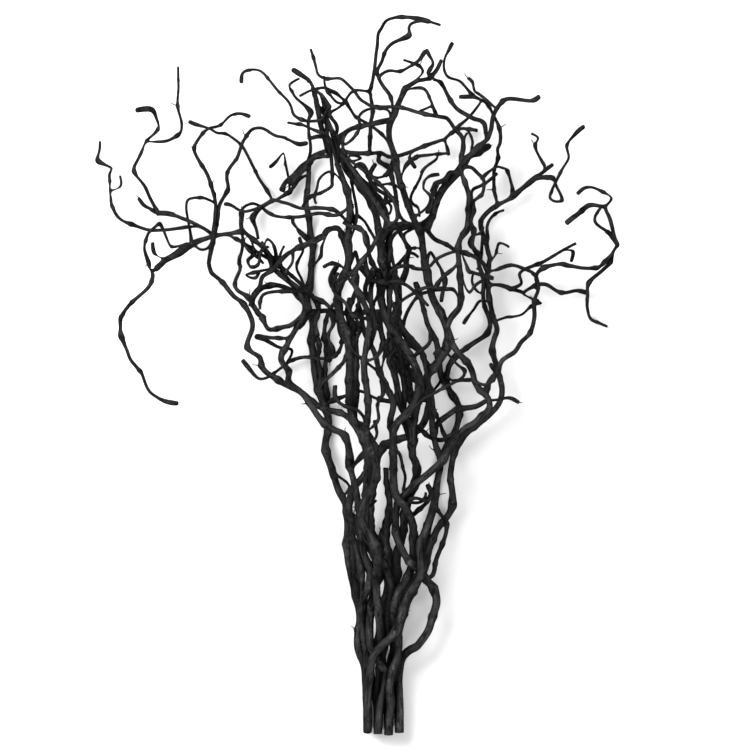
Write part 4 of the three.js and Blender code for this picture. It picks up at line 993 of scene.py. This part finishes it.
@dataclass(frozen=True)
class Bud:
    """A willow bud: one pointed scale, fattest near its foot.

    Attributes:
        length: Its length, in metres.
        width: Its radius at the fattest place, in metres.
        flatness: How thick it is, as a share of its width.
        point: How much slimmer its tip is than its foot, 0 to 1.
    """

    length: float
    width: float
    flatness: float = 0.72
    point: float = 0.72

    def grow(self, bm: bmesh.types.BMesh) -> list[bmesh.types.BMVert]:
        """Adds the bud standing on the origin.

        Args:
            bm: The mesh that it joins.

        Returns:
            Its corners.
        """
        made = bmesh.ops.create_uvsphere(bm, u_segments=8, v_segments=6, radius=1.0)["verts"]
        for vert in made:
            up = 0.5 * (vert.co.z + 1.0)
            slim = 1.0 - self.point * up**1.6
            across = vert.co.x * slim * self.width
            deep = vert.co.y * slim * self.width * self.flatness
            vert.co = Vector((across, deep, up * self.length))
        return made


@dataclass(frozen=True)
class Spur:
    """The stub of a side twig that has broken off.

    Attributes:
        length: Its length, in metres.
        width: Its radius at the foot, in metres.
        joints: How many short lengths it is made of.
        crook: The most that it turns at each, in radians.
        taper: How wide each length ends, as a share of its start.
    """

    length: float
    width: float
    joints: int = 4
    crook: float = 0.3
    taper: float = 0.86

    def grow(self, bm: bmesh.types.BMesh, chance: random.Random) -> list[bmesh.types.BMVert]:
        """Adds the spur standing on the origin.

        Args:
            bm: The mesh that it joins.
            chance: Where its crooks come from.

        Returns:
            Its corners.
        """
        made = bmesh.ops.create_circle(bm, cap_ends=True, segments=6, radius=self.width)["verts"]
        top = made[0].link_faces[0]
        if top.normal.z > 0:
            top.normal_flip()
        everything = list(made)
        for joint in range(self.joints):
            grown = bmesh.ops.extrude_face_region(bm, geom=[top], use_keep_orig=joint == 0)["geom"]
            ring = [item for item in grown if isinstance(item, bmesh.types.BMVert)]
            top = next(item for item in grown if isinstance(item, bmesh.types.BMFace))
            middle = top.calc_center_median()
            bmesh.ops.translate(bm, vec=Vector((0.0, 0.0, self.length / self.joints)), verts=ring)
            tilt_x = Matrix.Rotation(chance.uniform(-self.crook, self.crook), 3, "X")
            tilt_y = Matrix.Rotation(chance.uniform(-self.crook, self.crook), 3, "Y")
            bmesh.ops.rotate(bm, cent=middle, matrix=tilt_x @ tilt_y, verts=ring)
            centre = sum((v.co for v in ring), Vector()) / len(ring)
            to_middle, back = Matrix.Translation(-centre), Matrix.Translation(centre)
            slim = back @ Matrix.Scale(self.taper, 4) @ to_middle
            bmesh.ops.transform(bm, matrix=slim, verts=ring)
            everything += ring
        skin = list({face for vert in everything for face in vert.link_faces})
        bmesh.ops.recalc_face_normals(bm, faces=skin)
        return everything


# ---- The studio ----


@dataclass
class StudioFloor:
    """A wide pale floor just under the bunch.

    Attributes:
        reach: Half its width, in metres.
        drop: How far it lies under the lowest bark, in metres.
    """

    reach: float = 30.0
    drop: float = 0.0002

    def build(self) -> bpy.types.Object:
        """Lays the floor.

        Returns:
            The floor.
        """
        bm = bmesh.new()
        bmesh.ops.create_grid(bm, x_segments=4, y_segments=4, size=self.reach)
        bmesh.ops.translate(bm, vec=Vector((0.0, 0.0, -self.drop)), verts=bm.verts)
        mesh = bpy.data.meshes.new("studio_floor")
        bm.to_mesh(mesh)
        bm.free()
        mesh.materials.append(PaleFloor().material())
        floor = bpy.data.objects.new("studio_floor", mesh)
        bpy.context.scene.collection.objects.link(floor)
        return floor


@dataclass(frozen=True)
class SoftBox:
    """One soft studio lamp that looks at the bunch.

    Attributes:
        name: What it is for.
        place: Where it hangs, in metres.
        width: The side of its square face, in metres.
        power: Its power, in watts.
    """

    name: str
    place: tuple[float, float, float]
    width: float
    power: float

    def hang(self, target: Vector) -> bpy.types.Object:
        """Hangs the lamp.

        Args:
            target: What it looks at.

        Returns:
            The lamp.
        """
        data = bpy.data.lights.new(self.name, "AREA")
        data.shape, data.size, data.energy = "SQUARE", self.width, self.power
        lamp = bpy.data.objects.new(self.name, data)
        lamp.location = Vector(self.place)
        lamp.rotation_euler = (target - lamp.location).to_track_quat("-Z", "Y").to_euler()
        bpy.context.scene.collection.objects.link(lamp)
        return lamp


@dataclass
class StudioLight:
    """The lamps and the glow of the white room.

    Attributes:
        lamps: The soft lamps.
        glow: The strength of the room's even light.
    """

    lamps: tuple[SoftBox, ...] = (
        SoftBox("key_lamp", (-1.5, 1.3, 3.4), 2.2, 330.0),
        SoftBox("fill_lamp", (1.1, -0.9, 3.8), 2.6, 160.0),
    )
    glow: float = 0.25

    def build(self, target: Vector) -> None:
        """Hangs every lamp and lights the room.

        Args:
            target: What the lamps look at.
        """
        for lamp in self.lamps:
            lamp.hang(target)
        world = bpy.data.worlds.new("white_room")
        world.use_nodes = True
        ground = world.node_tree.nodes["Background"]
        ground.inputs["Color"].default_value = (1.0, 1.0, 1.0, 1.0)
        ground.inputs["Strength"].default_value = self.glow
        bpy.context.scene.world = world
        settings = bpy.context.scene.view_settings
        settings.view_transform, settings.look = "Standard", "None"


@dataclass
class OverheadCamera:
    """A long lens straight above the bunch, with the tips at the top of the picture.

    Attributes:
        distance: How far it stands over the middle of the bunch, in metres.
        width: How wide the picture is there, in metres.
        aside: How far the picture's middle is from the bunch's, in metres.
        sensor: The sensor's width, in millimetres.
    """

    distance: float = 24.0
    width: float = 1.125
    aside: tuple[float, float] = (0.0262, 0.0015)
    sensor: float = 36.0

    def build(self, lowest: Vector, highest: Vector) -> bpy.types.Object:
        """Sets up the camera.

        Args:
            lowest: The bunch's lowest corner.
            highest: The bunch's highest corner.

        Returns:
            The camera.
        """
        data = bpy.data.cameras.new("overhead_camera")
        data.sensor_width = self.sensor
        data.lens = self.sensor * self.distance / self.width
        data.clip_start, data.clip_end = 0.1, 100.0
        camera = bpy.data.objects.new("overhead_camera", data)
        middle = (lowest + highest) / 2
        camera.location = middle + Vector((*self.aside, self.distance))
        bpy.context.scene.collection.objects.link(camera)
        bpy.context.scene.camera = camera
        return camera


def bunch_finder(nodes: dict[str, bpy.types.Object]) -> BVHTree:
    """Makes what tells how near the stems stand to a place.

    Args:
        nodes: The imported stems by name.

    Returns:
        One search tree over all of them.
    """
    bm = bmesh.new()
    for node in nodes.values():
        bm.from_mesh(node.data)
    tree = BVHTree.FromBMesh(bm)
    bm.free()
    return tree


def main() -> None:
    """Builds the studio and the twelve stems, and reports each piece."""
    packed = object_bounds()
    lowest, highest = (Vector(corner) for corner in packed)
    OverheadCamera().build(lowest, highest)
    StudioLight().build((lowest + highest) / 2)
    StudioFloor().build()

    finishes = [BlackBark().material(), SawnEnd().material()]
    clear = bunch_finder(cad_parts)
    for order, name in enumerate(sorted(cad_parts)):
        stem = WillowStem(name, order, clear, fineness=3).build(finishes)
        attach(stem, BODY)
        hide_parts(name)
        log.info("%s: %d faces", stem.name, len(stem.data.polygons))


if __name__ == "__main__":
    logging.basicConfig(level=logging.INFO, format="%(name)s: %(message)s")
    main()
